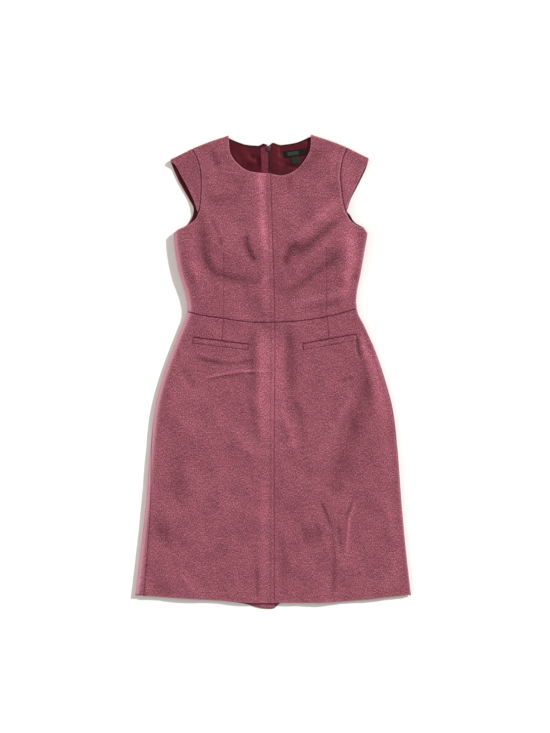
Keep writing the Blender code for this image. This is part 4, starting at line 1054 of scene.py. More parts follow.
def cloth_mesh(name, outer, inner, faces, cut, shades):
    """A closed wall of cloth with its cut as the map, and what varies over it as attributes of its points."""
    count = len(outer)
    sides = np.concatenate([faces[:, [0, 1]], faces[:, [1, 2]], faces[:, [2, 0]]])
    there = set(map(tuple, sides.tolist()))
    rim = np.array([s for s in there if (s[1], s[0]) not in there])
    walls = np.stack([rim[:, 1], rim[:, 0], rim[:, 0] + count, rim[:, 1] + count], axis=1)
    everything = faces.tolist() + (faces[:, ::-1] + count).tolist() + walls.tolist()
    mesh = bpy.data.meshes.new(name)
    mesh.from_pydata((np.concatenate([outer, inner]) * MM).tolist(), [], everything)
    corners = np.zeros(len(mesh.loops), np.int32)
    mesh.loops.foreach_get("vertex_index", corners)
    plan = np.concatenate([cut, cut]) * MM
    layer = mesh.uv_layers.new(name="cut")
    layer.data.foreach_set("uv", plan[corners].astype(np.float32).ravel())
    for kind, values in shades.items():
        shade = mesh.attributes.new(kind, "FLOAT", "POINT")
        shade.data.foreach_set("value", np.concatenate([values, values]).astype(np.float32))
    mesh.shade_smooth()
    mesh.set_sharp_from_angle(angle=math.radians(SHARP_DEG))
    return mesh


def seam_pad(away):
    """How much of the allowance's pad is left this far from a seam."""
    return ease((SEAM_PAD_REACH - away) / SEAM_PAD_SLOPE + 0.5)


def filled(outline, home, step, grooves, rim_rows):
    """A cut's points and triangles: rows along its edge, its grooves and its rolls, and a lattice between."""
    ends = np.roll(outline, -1, axis=0)

    def clear_of_edge(points, least):
        return points[within(points, outline) & (line_distance(points, outline, ends) > least)]

    kept = []
    for row in rim_rows:
        ring = drawn_in(outline, row)
        kept.append(ring[line_distance(ring, outline, ends) > RIM_ROW_LEAST * row])
    for groove in grooves:
        rows = beside(groove.path, [share * groove.half_width for share in GROOVE_ROWS], GROOVE_STEP)
        kept.append(clear_of_edge(rows, GROOVE_END_CLEAR))
    last, clear = rim_rows[-1], LATTICE_CLEAR * step
    strips = clear_of_edge(roll_strips(outline, step), last + STRIP_CLEAR)
    between_rows = lattice(outline, step)
    between_rows = clear_of_edge(between_rows[~on_roll(between_rows, clear)], last + clear)
    for points in (strips, between_rows):
        for groove in grooves:
            near = line_distance(points, *path_ends(groove.path))
            points = points[near > GROOVE_ROWS[-1] * groove.half_width + GROOVE_CLEAR * step]
        kept.append(points)
    cut = np.concatenate([outline, *kept])
    edges = [(k, (k + 1) % len(outline)) for k in range(len(outline))]
    coords, _, faces, _, _, _ = delaunay_2d_cdt([Vector(p) for p in cut], edges, [], 1, 1e-6)
    cut = np.array([tuple(p) for p in coords])
    faces = np.array([tuple(f) for f in faces if len(f) == 3])
    a, b, c = (cut[faces[:, k]] for k in range(3))
    ccw = (b[:, 0] - a[:, 0]) * (c[:, 1] - a[:, 1]) - (b[:, 1] - a[:, 1]) * (c[:, 0] - a[:, 0]) > 0
    return cut, np.where((ccw == (home == FRONT))[:, None], faces, faces[:, ::-1])


# A fabric: the last word of its pieces' names, its material and slot, its thickness, whether it is pressed at
# seams and edges, and its rows of points along an edge.
Fabric = namedtuple("Fabric", "ending material slot thick pressed rim_rows")


def lay_cloth(node, fabric, home, runs, step, out=None, grooves=(), map_of=None, nap=None):
    """One piece of cloth: its cut filled with points, laid on the form, thickened and dressed, in place of its
    solid.
    """
    outline = drawn_in(np.array([p for run in runs for p in run.points], float), SEAM_GAP / 2)
    kinds = np.array([run.kind for run in runs for p in run.points])
    ends = np.roll(outline, -1, axis=0)
    cut, faces = filled(outline, home, step, grooves, fabric.rim_rows)
    place, way = laid(home, cut)
    offset = np.zeros(len(cut)) if out is None else out(cut[:, 0], cut[:, 1])
    dark, rim = np.zeros(len(cut)), np.zeros(len(cut))
    edge = line_distance(cut, outline[kinds == EDGE], ends[kinds == EDGE])
    if fabric.pressed:
        offset = offset + EDGE_PAD * ease((EDGE_PAD_REACH - edge) / EDGE_PAD_SLOPE)
        # Painted highlight along free edges, beside some seams and at the side folds, mixed in through the rim
        # attribute.
        rim = EDGE_PAINTED_LIGHT * np.exp(-((edge / EDGE_PAINTED_LIGHT_REACH) ** 2))
        for kind, look in SEAM_LOOKS.items():
            seam = line_distance(cut, outline[kinds == kind], ends[kinds == kind])
            offset = offset - look.pinch * np.clip(1 - seam / SEAM_PINCH_REACH, 0, 1) ** 2
            offset = offset + SEAM_PAD * ease(seam / SEAM_PINCH_REACH) * seam_pad(seam)
            # Painted shade in the seam, mixed in through the groove attribute.
            dark = np.maximum(dark, look.dark * np.exp(-((seam / look.reach) ** 2)))
            rim = np.maximum(rim, look.pale * np.exp(-(((seam - SEAM_HIGHLIGHT_AT) / SEAM_HIGHLIGHT_REACH) ** 2)))
        rim = np.maximum(rim, painted_fold_light(place))
        # Painted shade along the back's edges, where the folded wool would lie in shadow.
        if home == BACK:
            dark = np.maximum(dark, np.exp(-((edge / BACK_EDGE_SHADE_REACH) ** 2)))
    for groove in grooves:
        near = line_distance(cut, *path_ends(groove.path)) / groove.half_width
        offset = offset - groove.depth * np.exp(-(near**2))
        # Painted shade in darts, topstitch grooves and round the welts.
        dark = np.maximum(dark, groove.dark * np.exp(-((near / GROOVE_DARK_REACH) ** 2)))
    turn = np.clip(1 - edge / EDGE_ROUND, 0, 1)
    fall = min(EDGE_ROUND, EDGE_ROUND_SHARE * fabric.thick) * (1 - np.sqrt(1 - turn**2))
    outer = place + way * (offset - fall)[:, None]
    outer[:, 2] = np.maximum(outer[:, 2], 0.0)
    inner = place + way * (offset - fabric.thick + fall)[:, None]
    plan = cut if map_of is None else map_of(cut)
    # The crease table whose tones give painted highlight and shade: the one given, else the front's or the
    # back's.
    lie = creased(nap or (CREASES if home == FRONT else BACK_CREASES), cut[:, 0], cut[:, 1])[1]
    name = f"{node}_{fabric.ending}"
    mesh = cloth_mesh(name, outer, inner, faces, plan, {"groove": dark, "rim": rim, "lie": lie})
    mesh.materials.append(fabric.material)
    piece = bpy.data.objects.new(name, mesh)
    bpy.context.scene.collection.objects.link(piece)
    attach(piece, BODY)
    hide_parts(node)
    width, length = (outline.max(axis=0) - outline.min(axis=0)) * MM
    area = min(abs(signed_area(outline)) * MM * MM, width * length)


# Shading ---------------------------------------------------------------


class Wire:
    """A socket that Python expressions can work on."""

    def __init__(self, tree, socket):
        self.tree = tree
        self.socket = socket

    def _math(self, operation, first, second=0.0):
        return self.tree.node("ShaderNodeMath", {"operation": operation}, {0: first, 1: second})

    def __add__(self, other):
        return self._math("ADD", self, other)

    def __sub__(self, other):
        return self._math("SUBTRACT", self, other)

    def __rsub__(self, other):
        return self._math("SUBTRACT", other, self)

    def __mul__(self, other):
        return self._math("MULTIPLY", self, other)

    __radd__ = __add__
    __rmul__ = __mul__

    def sine(self):
        return self._math("SINE", self)

    def ramp(self, low, high):
        """0 below low and 1 above high, with a soft step between."""
        sockets = {"Value": self, "From Min": low, "From Max": high}
        return self.tree.node("ShaderNodeMapRange", {"interpolation_type": "SMOOTHSTEP"}, sockets)


class Finish:
    """A material's nodes, made one by one."""

    def __init__(self, name):
        self.material = bpy.data.materials.new(name)
        self.material.use_nodes = True
        self.nodes = self.material.node_tree.nodes
        self.links = self.material.node_tree.links
        self.shader = self.nodes["Principled BSDF"]

    def feed(self, socket, value):
        if isinstance(value, Wire):
            self.links.new(value.socket, socket)
        else:
            socket.default_value = value

    def node(self, kind, settings, sockets, output=0):
        """One node: its settings first, then the values or wires of its sockets. Gives its output."""
        made = self.nodes.new(kind)
        for name, value in settings.items():
            setattr(made, name, value)
        for name, value in sockets.items():
            self.feed(made.inputs[name], value)
        return Wire(self, made.outputs[output])

    def cut(self, degrees=0.0):
        """Places on the piece's cut in metres, turned."""
        plan = self.node("ShaderNodeUVMap", {"uv_map": "cut"}, {})
        if not degrees:
            return plan
        turn = (0.0, 0.0, math.radians(degrees))
        return self.node("ShaderNodeMapping", {}, {"Vector": plan, "Rotation": turn})

    def stretched(self, vector, x, y):
        """Places drawn out or pushed together each way, so that a pattern on them is."""
        return self.node("ShaderNodeVectorMath", {"operation": "MULTIPLY"}, {0: vector, 1: (x, y, 1.0)})

    def axes(self, vector):
        """How far places are along X and along Y."""
        made = self.nodes.new("ShaderNodeSeparateXYZ")
        self.feed(made.inputs[0], vector)
        return Wire(self, made.outputs[0]), Wire(self, made.outputs[1])

    def noise(self, vector, scale, detail=2.0, roughness=0.5):
        sockets = {"Vector": vector, "Scale": scale, "Detail": detail, "Roughness": roughness}
        return self.node("ShaderNodeTexNoise", {}, sockets)

    def mix(self, share, first, second, how="MIX"):
        settings = {"data_type": "RGBA", "blend_type": how, "clamp_factor": True}
        first = first if isinstance(first, Wire) else (*first, 1.0)
        second = second if isinstance(second, Wire) else (*second, 1.0)
        return self.node("ShaderNodeMix", settings, {0: share, 6: first, 7: second}, output=2)

    def attribute(self, name):
        return self.node("ShaderNodeAttribute", {"attribute_name": name}, {}, output=2)

    def bump(self, height, distance, strength=1.0):
        return self.node("ShaderNodeBump", {}, {"Height": height, "Distance": distance, "Strength": strength})

    def set(self, **sockets):
        for name, value in sockets.items():
            socket = self.shader.inputs[name.replace("_", " ")]
            value = (*value, 1.0) if isinstance(value, tuple) and len(value) == 3 else value
            self.feed(socket, value)
        return self.material


# How much of the creases' painted highlight and shade the red, the green and the blue take.
PAINTED_LIGHT_PARTS = (0.96, 1.03, 1.08)
# Weaves: the millimetres from one rib or yarn to the next.
TWILL_PITCH = 2.3
YARN_PITCH = 1.1
TAPE_PITCH_ALONG, TAPE_PITCH_ACROSS = 0.7, 0.9
LABEL_PITCH_ACROSS, LABEL_PITCH_ALONG = 0.45, 0.6
BAND_BLUR = 0.35


def ribbed(place, pitch):
    """A wave of this pitch along one way of a cut."""
    return (place * (2 * math.pi / (pitch * MM))).sine()


def wool_finish(name, colours, grain_degrees):
    """Heathered twill: slanted ribs, flecks of pale and dark wool in each yarn, and a brushed nap, with
    painted highlight and shade from the creases, painted highlight at edges and folds, and painted shade in
    seams and grooves.
    """
    finish = Finish(name)
    plan = finish.cut(grain_degrees)
    across, along = finish.axes(plan)
    ribs = ribbed(across + along, TWILL_PITCH)
    yarns = ribbed(across, YARN_PITCH)
    fibre = finish.noise(finish.stretched(plan, 1.0, 0.6), 1300.0, 2.0, 0.7)
    tuft = finish.noise(plan, 540.0, 2.0, 0.8)
    dye = finish.noise(finish.stretched(plan, 1.0, 0.5), 700.0, 1.0, 0.6)
    pill = finish.noise(plan, 130.0, 2.0, 0.6)
    cloud = finish.noise(plan, 24.0, 2.0, 0.6)
    body = finish.mix(tuft.ramp(0.3, 0.7), colours.burgundy, colours.rose)
    body = finish.mix(dye.ramp(0.5, 0.7) * 0.62, body, colours.pale)
    body = finish.mix((1.0 - dye).ramp(0.52, 0.7) * 0.68, body, colours.dark)
    body = finish.mix(fibre.ramp(0.6, 0.76) * 0.4, body, colours.moss)
    shade = 1.0 + (cloud - 0.5) * 0.5 + (pill - 0.5) * 0.6 + ribs * 0.1 + yarns * 0.03 + (fibre - 0.5) * 0.4
    # Painted highlight on crease crests and painted shade in their hollows, from the creases' tones.
    red, green, blue = (shade * (1.0 + finish.attribute("lie") * colours.lie * part) for part in PAINTED_LIGHT_PARTS)
    light = finish.node("ShaderNodeCombineColor", {}, {0: red, 1: green, 2: blue})
    body = finish.mix(1.0, body, light, "MULTIPLY")
    # Painted highlight at edges, side folds and beside the arm seams.
    body = finish.mix(finish.attribute("rim"), body, colours.rim)
    # Painted shade in seams, grooves, pocket mouths and along the back's edges.
    body = finish.mix(finish.attribute("groove"), body, colours.seam)
    height = tuft * 0.5 + fibre * 0.3 + ribs * 0.12 + dye * 0.3
    return finish.set(
        Base_Color=body,
        Roughness=0.94,
        Specular_IOR_Level=0.15,
        Sheen_Weight=colours.sheen,
        Sheen_Roughness=0.42,
        Sheen_Tint=tuple(colours.sheen_tint),
        Normal=finish.bump(height, 0.8 * MM, 0.8),
    )


def satin_finish(name, colours):
    """Lining satin: smooth and dark, with fine threads, a soft shine, painted highlight and shade on its
    wrinkles, and painted shade along the neck edge.
    """
    finish = Finish(name)
    plan = finish.cut()
    threads = finish.noise(finish.stretched(plan, 1.0, 0.08), 2600.0, 2.0, 0.6)
    cloud = finish.noise(plan, 110.0, 2.0, 0.5)
    share = threads.ramp(0.25, 0.75) * 0.5 + cloud * 0.35
    body = finish.mix(share, colours.satin, colours.satin_lit)
    # Painted highlight and shade from the wrinkles' tones.
    light = 1.0 + finish.attribute("lie")
    light = finish.node("ShaderNodeCombineColor", {}, {0: light, 1: light, 2: light})
    body = finish.mix(1.0, body, light, "MULTIPLY")
    # Painted shade along the lining's neck edge.
    body = finish.mix(finish.attribute("groove"), body, tuple(c * 0.12 for c in colours.satin))
    return finish.set(
        Base_Color=body,
        Roughness=(threads - 0.5) * 0.12 + 0.4,
        Specular_IOR_Level=0.22,
        Specular_Tint=tuple(colours.satin_shine),
        Normal=finish.bump(threads * 0.2 + cloud * 2.0, 1.6 * MM, 0.3),
    )


def tape_finish(name, colours):
    """Woven zip tape, with a rib along its length."""
    finish = Finish(name)
    plan = finish.cut()
    across, along = finish.axes(plan)
    ribs = ribbed(along, TAPE_PITCH_ALONG) * ribbed(across, TAPE_PITCH_ACROSS)
    wear = finish.noise(plan, 240.0, 3.0, 0.6)
    body = finish.mix(wear.ramp(0.3, 0.7), colours.tape, colours.tape_lit)
    body = finish.mix(ribs.ramp(-0.2, 0.8) * 0.3, body, colours.tape_lit)
    return finish.set(
        Base_Color=body,
        Roughness=0.75,
        Specular_IOR_Level=0.3,
        Sheen_Weight=0.2,
        Sheen_Tint=tuple(colours.sheen_tint),
        Normal=finish.bump(ribs * 0.5 + wear * 0.5, 0.3 * MM, 0.7),
    )


def thread_finish(name, colour):
    """Spun thread, twisted along its length."""
    finish = Finish(name)
    place = finish.node("ShaderNodeTexCoord", {}, {}, output=3)
    ply = finish.noise(place, 1500.0, 2.0, 0.6)
    body = finish.mix(ply.ramp(0.3, 0.7), tuple(c * 0.6 for c in colour), colour)
    return finish.set(
        Base_Color=body, Roughness=0.7, Specular_IOR_Level=0.3, Normal=finish.bump(ply, 0.15 * MM, 0.6)
    )


def label_finish(name, ground, raised, colours, band=None):
    """A ribbed woven label, with a plain band of another colour between two corners where it has one."""
    finish = Finish(name)
    plan = finish.cut()
    across, along = finish.axes(plan)
    weave = ribbed(across, LABEL_PITCH_ACROSS) * ribbed(along, LABEL_PITCH_ALONG)
    lint = finish.noise(plan, 700.0, 3.0, 0.7)
    body = finish.mix(lint.ramp(0.45, 0.8) * 0.5, ground, raised)
    if band:
        (low_x, low_y), (high_x, high_y) = band
        soft = BAND_BLUR * MM
        inside = across.ramp(low_x - soft, low_x + soft) * (1.0 - across.ramp(high_x - soft, high_x + soft))
        inside = inside * along.ramp(low_y - soft, low_y + soft)
        inside = inside * (1.0 - along.ramp(high_y - soft, high_y + soft))
        woven = finish.mix(weave.ramp(-0.5, 0.6), colours.band, colours.band_lit)
        body = finish.mix(inside, body, woven)
    return finish.set(
        Base_Color=body,
        Roughness=0.7,
        Specular_IOR_Level=0.16,
        Normal=finish.bump(weave * 0.4 + lint * 0.5, 0.25 * MM, 0.7),
    )


def metal_finish(name, colours):
    """Die-cast zip metal, rubbed dull, with fine scratches."""
    finish = Finish(name)
    place = finish.node("ShaderNodeTexCoord", {}, {}, output=3)
    scratch = finish.noise(finish.stretched(place, 1.0, 0.1), 5200.0, 3.0, 0.6)
    wear = finish.noise(place, 900.0, 3.0, 0.6)
    body = finish.mix(wear.ramp(0.35, 0.7), colours.metal, colours.metal_lit)
    return finish.set(
        Base_Color=body,
        Metallic=1.0,
        Roughness=(scratch - 0.5) * 0.3 + 0.36,
        Normal=finish.bump(scratch * 0.3 + wear * 0.6, 0.08 * MM, 0.5),
    )


def floor_finish(name, colour):
    """Pale matt studio floor."""
    finish = Finish(name)
    place = finish.node("ShaderNodeTexCoord", {}, {}, output=3)
    cloud = finish.noise(place, 3.0, 2.0, 0.5)
    body = finish.mix(cloud, colour, tuple(c * 0.985 for c in colour))
    return finish.set(Base_Color=body, Roughness=0.9, Specular_IOR_Level=0.1)


def made(name, build, *values):
    """The finish of this name, made the first time that a piece asks for it."""
    return bpy.data.materials.get(name) or build(name, *values)


# Settings --------------------------------------------------------------


def number_property(name, description, default, **more):
    return FloatProperty(name=name, description=description, default=default, min=0.0, **more)


def size_property(name, description, default):
    return number_property(name, description, default, unit="LENGTH", precision=5)


def angle_property(name, description, default):
    return number_property(name, description, default, unit="ROTATION")


def colour_property(name, description, default):
    return FloatVectorProperty(
        name=name, description=description, default=default, subtype="COLOR", min=0.0, max=1.0
    )


class DressSizes(bpy.types.PropertyGroup):
    """How finely the cloth is made, how thick it is, and its stitches."""

    bodice_step: size_property("Bodice step", "Distance between the points of the front bodice", 0.0023)
    skirt_step: size_property("Skirt step", "Distance between the points of the front skirt", 0.0026)
    back_step: size_property("Back step", "Distance between the points of the back", 0.006)
    lining_step: size_property("Lining step", "Distance between the points of the lining", 0.003)
    wool_thick: size_property("Wool thickness", "Thickness of the wool", 0.0018)
    lining_thick: size_property("Lining thickness", "Thickness of the satin lining", 0.0005)
    stitch_length: size_property("Stitch length", "Length of a topstitch", 0.0027)
    stitch_pitch: size_property("Stitch pitch", "Distance from one topstitch to the next", 0.0034)
    thread_radius: size_property("Thread radius", "Half the thickness of the topstitching thread", 0.00026)


class DressColours(bpy.types.PropertyGroup):
    """The colours of the wool, the satin and the trim."""

    rose: colour_property("Rose", "The wool's lighter dye", tone(156, 86, 102))
    burgundy: colour_property("Burgundy", "The wool's darker dye", tone(110, 46, 61))
    pale: colour_property("Pale fleck", "Undyed wool in the heather", tone(192, 135, 146))
    dark: colour_property("Dark fleck", "The darkest wool in the heather", tone(79, 28, 40))
    moss: colour_property("Moss fleck", "Brownish green wool in the heather", tone(108, 82, 76))
    sheen: number_property("Nap", "How strongly the nap catches light", 0.32)
    # Painted light: how far the crease tones lighten crests and darken hollows.
    lie: number_property("Nap lie", "How much the creases lighten or darken it", 2.0)
    # Painted highlight: the colour that edges, folds and the line beside arm seams are lightened towards.
    rim: colour_property("Rim", "The nap where it is worn at an edge or a fold", tone(226, 172, 186))
    # Painted shade: the colour that seams, grooves, pocket mouths and the back's edges are darkened towards.
    seam: colour_property("Seam", "The wool down in a seam", tone(84, 2, 30))
    sheen_tint: colour_property("Nap colour", "Colour of the light the nap catches", tone(242, 186, 216))
    satin: colour_property("Satin", "The lining in shade", tone(62, 18, 25))
    satin_lit: colour_property("Satin lit", "The lining's threads in light", tone(92, 33, 43))
    satin_shine: colour_property("Satin shine", "Colour of the satin's shine", tone(214, 130, 140))
    tape: colour_property("Tape", "The zip's tape", tone(88, 20, 38))
    tape_lit: colour_property("Tape lit", "The raised threads of the zip's tape", tone(128, 42, 64))
    label: colour_property("Label", "The woven label", tone(15, 11, 9))
    label_lit: colour_property("Label lit", "Lint and raised threads on the label", tone(30, 26, 22))
    tab: colour_property("Tab", "The tab under the label", tone(34, 35, 31))
    tab_lit: colour_property("Tab lit", "Raised threads on the tab", tone(66, 70, 64))
    band: colour_property("Band", "The label's plain woven band", tone(33, 46, 39))
    band_lit: colour_property("Band lit", "The raised threads of the band", tone(52, 64, 55))
    metal: colour_property("Metal", "The zip's slider in its hollows", tone(60, 50, 50))
    metal_lit: colour_property("Metal rubbed", "The zip's slider where it is rubbed", tone(136, 116, 114))
    thread: colour_property("Thread", "The topstitching thread", tone(176, 112, 126))


class DressStage(bpy.types.PropertyGroup):
    """The floor, the lights and the camera."""

    floor_size: size_property("Floor", "Side of the square floor", 60.0)
    floor: colour_property("Floor colour", "Colour of the floor", (0.93, 0.93, 0.925))
    lens: number_property("Lens", "Focal length of the camera", 85.0, unit="CAMERA")
    key_elevation: angle_property("Key height", "Height of the key light", 0.5)
    key_azimuth: angle_property("Key direction", "Where the key light comes from, from +X to +Y", 0.59)
    key_size: angle_property("Key size", "Width of the key light", 0.06)
    key_strength: number_property("Key", "Strength of the key light", 3.95)
    sky_strength: number_property("Sky", "Strength of the light all round", 0.49)
    sky: colour_property("Sky colour", "Colour of the light all round", (1.0, 0.94, 0.87))
    fill_strength: number_property("Fill", "Strength of the low light from the left", 0.8)


# Fabrics and small shapes ----------------------------------------------

SLEEVE_GRAIN_DEG = {"sleeve_left": 38.0, "sleeve_right": -38.0}


def wool_fabric(context, part="body"):
    """The dress's wool, whose grain is turned on a sleeve."""
    grain = SLEEVE_GRAIN_DEG.get(part, 0.0)
    material = made("wool_" + part, wool_finish, context.scene.dress_colours, grain)
    return Fabric("wool", material, "wool", context.scene.dress_sizes.wool_thick / MM, True, RIM_ROWS)


def closed_run(corners, step):
    """The cut of a patch with straight sides, round from its first corner."""
    return [Run(EDGE, evenly((p, q), step)[:-1]) for p, q in zip(corners, corners[1:] + corners[:1])]


def topstitch_line(side, half):
    """Where a topstitch row runs beside the centre front seam, upwards."""
    x = float(centre_front(WAIST_CENTRE_Y)) + side.sign * TOPSTITCH_OUT
    if half == "bodice":
        neck = np.array(through(side.front_neck, 2.0))
        out = side.sign * (x + TOPSTITCH_NECK_OUT * side.sign)
        low, high = float(waist(x)), float(np.interp(out, side.sign * neck[:, 0], neck[:, 1]))
    else:
        low, high = float(front_hem(x)), float(waist(x))
    below, above = TOPSTITCH_ENDS[half]
    ys = spaced(low + below, high - above, TOPSTITCH_STEP)
    return tuple(Point(centre_front(y) + side.sign * TOPSTITCH_OUT, y) for y in ys)


def tape_out(x, y):
    """How far within the back's face the zip's tapes lie."""
    return -(WOOL + LAY_GAP) - lift_slack(x, y)


def lining_out(side):
    """How far within the back's face the lining lies, which on the right steps over a tape."""

    def out(x, y):
        over = 1 - ease((x - tape_outer(side, y) - STEP_START) / STEP_RUN) if side.sign > 0 else 0.0
        wrinkle = creased(LINING_CREASES, x, y)[0]
        return tape_out(x, y) - over * (TAPE + LAY_GAP) - wrinkle

    return out


def sleeve_lining_out(x, y):
    """How far within a sleeve's face its lining lies, which is the same all over."""
    return np.full(len(x), -(WOOL + LAY_GAP))


def welt_out(side):
    """How far over the skirt's face a welt lies: it falls away from its mouth, with a slight crown."""
    corners = welt_corners(side)
    mouth = np.array(corners[:1]), np.array(corners[1:2])

    def out(x, y):
        down = line_distance(np.stack([x, y], axis=1), *mouth) / WELTS[side.name].height
        return WELT_OUT - WELT_FALL * down + WELT_CROWN * np.sin(math.pi * np.clip(down, 0, 1))

    return out


def welt_grooves(side):
    """The skirt's dips round a welt: its open mouth, a little over its upper edge, its ends and its foot."""
    a, b, c, d = welt_corners(side)
    up = Vector((a.x - d.x, a.y - d.y)).normalized() * WELT_MOUTH_OVER
    mouth = tuple(Point(p.x + up.x, p.y + up.y) for p in (a, b))
    return (
        Groove(mouth, *WELT_MOUTH),
        Groove((b, c), *WELT_END),
        Groove((c, d), *WELT_FOOT),
        Groove((d, a), *WELT_END),
    )


def label_map(cut):
    """Places on the label's plane, along it and down it."""
    angle = math.radians(LABEL_TILT_DEG)
    x, y = cut[:, 0] - LABEL_CORNER.x, cut[:, 1] - LABEL_CORNER.y
    along = x * math.cos(angle) + y * math.sin(angle)
    down = x * math.sin(angle) - y * math.cos(angle)
    return np.stack([along, down], axis=1)


def label_out(x, y):
    """How far within the back's face the labels lie, on the lining, with a curl that grows downwards."""
    along, down = label_map(np.stack([x, y], axis=1)).T
    curl = LABEL_CURL * np.sin(along * LABEL_CURL_TURN) * np.clip(down / LABEL_CURL_DOWN, 0.0, 1.0)
    return -(WOOL + LAY_GAP + SATIN + LAY_GAP) - LABEL_CLEAR + LABEL_CURL_DEPTH * np.minimum(curl, 0.0)


def small_shape(width, length, height):
    """A rounded pip of these millimetres, as a mesh of its own, to be copied."""
    bpy.ops.object.select_all(action="DESELECT")
    bpy.ops.mesh.primitive_uv_sphere_add(segments=6, ring_count=5, radius=0.5)
    pip = bpy.context.object
    bpy.ops.object.mode_set(mode="EDIT")
    bpy.ops.mesh.select_all(action="SELECT")
    bpy.ops.transform.rotate(value=math.pi / 2, orient_axis="X", center_override=(0.0, 0.0, 0.0))
    bpy.ops.transform.resize(value=(width * MM, length * MM, height * MM), center_override=(0.0, 0.0, 0.0))
    bpy.ops.object.mode_set(mode="OBJECT")
    mesh = pip.data.copy()
    bpy.data.objects.remove(pip)
    return mesh


def copies(name, template, places, ways, material):
    """One piece of many copies of a small shape: places, and each copy's own three axes."""
    count, size = len(places), len(template.vertices)
    own = np.zeros(size * 3)
    template.vertices.foreach_get("co", own)
    own = own.reshape(-1, 3)
    points = places[:, None, :] + np.einsum("va,cax->cvx", own, ways)
    faces = [tuple(face.vertices) for face in template.polygons]
    everything = [tuple(v + k * size for v in face) for k in range(count) for face in faces]
    mesh = bpy.data.meshes.new(name)
    mesh.from_pydata(points.reshape(-1, 3).tolist(), [], everything)
    mesh.shade_smooth()
    mesh.materials.append(material)
    piece = bpy.data.objects.new(name, mesh)
    bpy.context.scene.collection.objects.link(piece)
    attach(piece, BODY)


def frames_along(home, cut, out):
    """Places on the laid cloth along a line of its cut, and the axes across, along and out of the cloth."""
    place, way = laid(home, cut)
    place = place + way * out[:, None]
    along = np.gradient(place, axis=0)
    along -= way * np.sum(along * way, axis=1, keepdims=True)
    along /= np.linalg.norm(along, axis=1, keepdims=True)
    across = np.cross(along, way)
    return place * MM, np.stack([across, along, way], axis=1)


def add_sun(context, name, strength, size, azimuth, elevation):
    """A distant light from this direction, counted from +X towards +Y and up."""
    light = bpy.data.lights.new(name, "SUN")
    light.energy = strength
    light.angle = size
    lamp = bpy.data.objects.new(name, light)
    flat = math.cos(elevation)
    source = Vector((flat * math.cos(azimuth), flat * math.sin(azimuth), math.sin(elevation)))
    lamp.rotation_mode = "QUATERNION"
    lamp.rotation_quaternion = source.to_track_quat("Z", "Y")
    context.scene.collection.objects.link(lamp)


# Operators -------------------------------------------------------------


class DRESS_OT_stage(bpy.types.Operator):
    """Adds the floor, the lights and the camera"""

    bl_idname = "dress.stage"
    bl_label = "Stage"

    def execute(self, context):
        stage = context.scene.dress_stage
        bpy.ops.object.select_all(action="DESELECT")
        bpy.ops.mesh.primitive_plane_add(size=stage.floor_size, location=(0.0, 0.0, -FLOOR_GAP * MM))
        floor = bpy.context.object
        floor.name = "floor"
        floor.data.materials.append(made("studio_floor", floor_finish, stage.floor))

        world = bpy.data.worlds.new("studio_light")
        world.use_nodes = True
        sky = world.node_tree.nodes["Background"]
        sky.inputs["Color"].default_value = (*stage.sky, 1.0)
        sky.inputs["Strength"].default_value = stage.sky_strength
        context.scene.world = world
        add_sun(context, "key", stage.key_strength, stage.key_size, stage.key_azimuth, stage.key_elevation)
        add_sun(context, "fill", stage.fill_strength, FILL_SIZE, math.pi, FILL_ELEVATION)

        lens = bpy.data.cameras.new("camera")
        lens.lens = stage.lens
        lens.clip_end = 100.0
        camera = bpy.data.objects.new("camera", lens)
        height_shown = PICTURE[1] * MM_PER_ELEMENT * MM
        distance = stage.lens * height_shown / lens.sensor_width
        camera.location = (LOOK_AT.x * MM, LOOK_AT.y * MM, LOOK_HEIGHT * MM + distance)
        context.scene.collection.objects.link(camera)
        context.scene.camera = camera
        context.scene.view_settings.view_transform = "Standard"
        return {"FINISHED"}


class DRESS_OT_back(bpy.types.Operator):
    """Lays the back bodice and the back skirt"""

    bl_idname = "dress.back"
    bl_label = "Back"

    def execute(self, context):
        sizes = context.scene.dress_sizes
        edge_step, step = sizes.bodice_step / MM, sizes.back_step / MM
        wool = wool_fabric(context)
        for side in SIDES:
            for half, runs in (("bodice", bodice_runs), ("skirt", skirt_runs)):
                cut = runs(side, BACK, edge_step)
                lay_cloth(f"back_{half}_{side.name}", wool, BACK, cut, step)
        return {"FINISHED"}


class DRESS_OT_lining(bpy.types.Operator):
    """Lays the satin lining of the upper back and the sleeves"""

    bl_idname = "dress.lining"
    bl_label = "Lining"

    def execute(self, context):
        sizes = context.scene.dress_sizes
        step = sizes.lining_step / MM
        material = made("lining_satin", satin_finish, context.scene.dress_colours)
        satin = Fabric("satin", material, "satin", sizes.lining_thick / MM, False, THIN_ROWS)
        for side in SIDES:
            lay_cloth(
                "back_lining_" + side.name,
                satin,
                BACK,
                back_lining_runs(side, step),
                step,
                out=lining_out(side),
                grooves=(Groove(tuple(lining_neck(side, 4.0)), *LINING_NECK),),
                nap=LINING_CREASES,
            )
            lay_cloth(
                "sleeve_lining_" + side.name,
                satin,
                BACK,
                sleeve_lining_runs(side, step),
                step,
                out=sleeve_lining_out,
            )
        return {"FINISHED"}


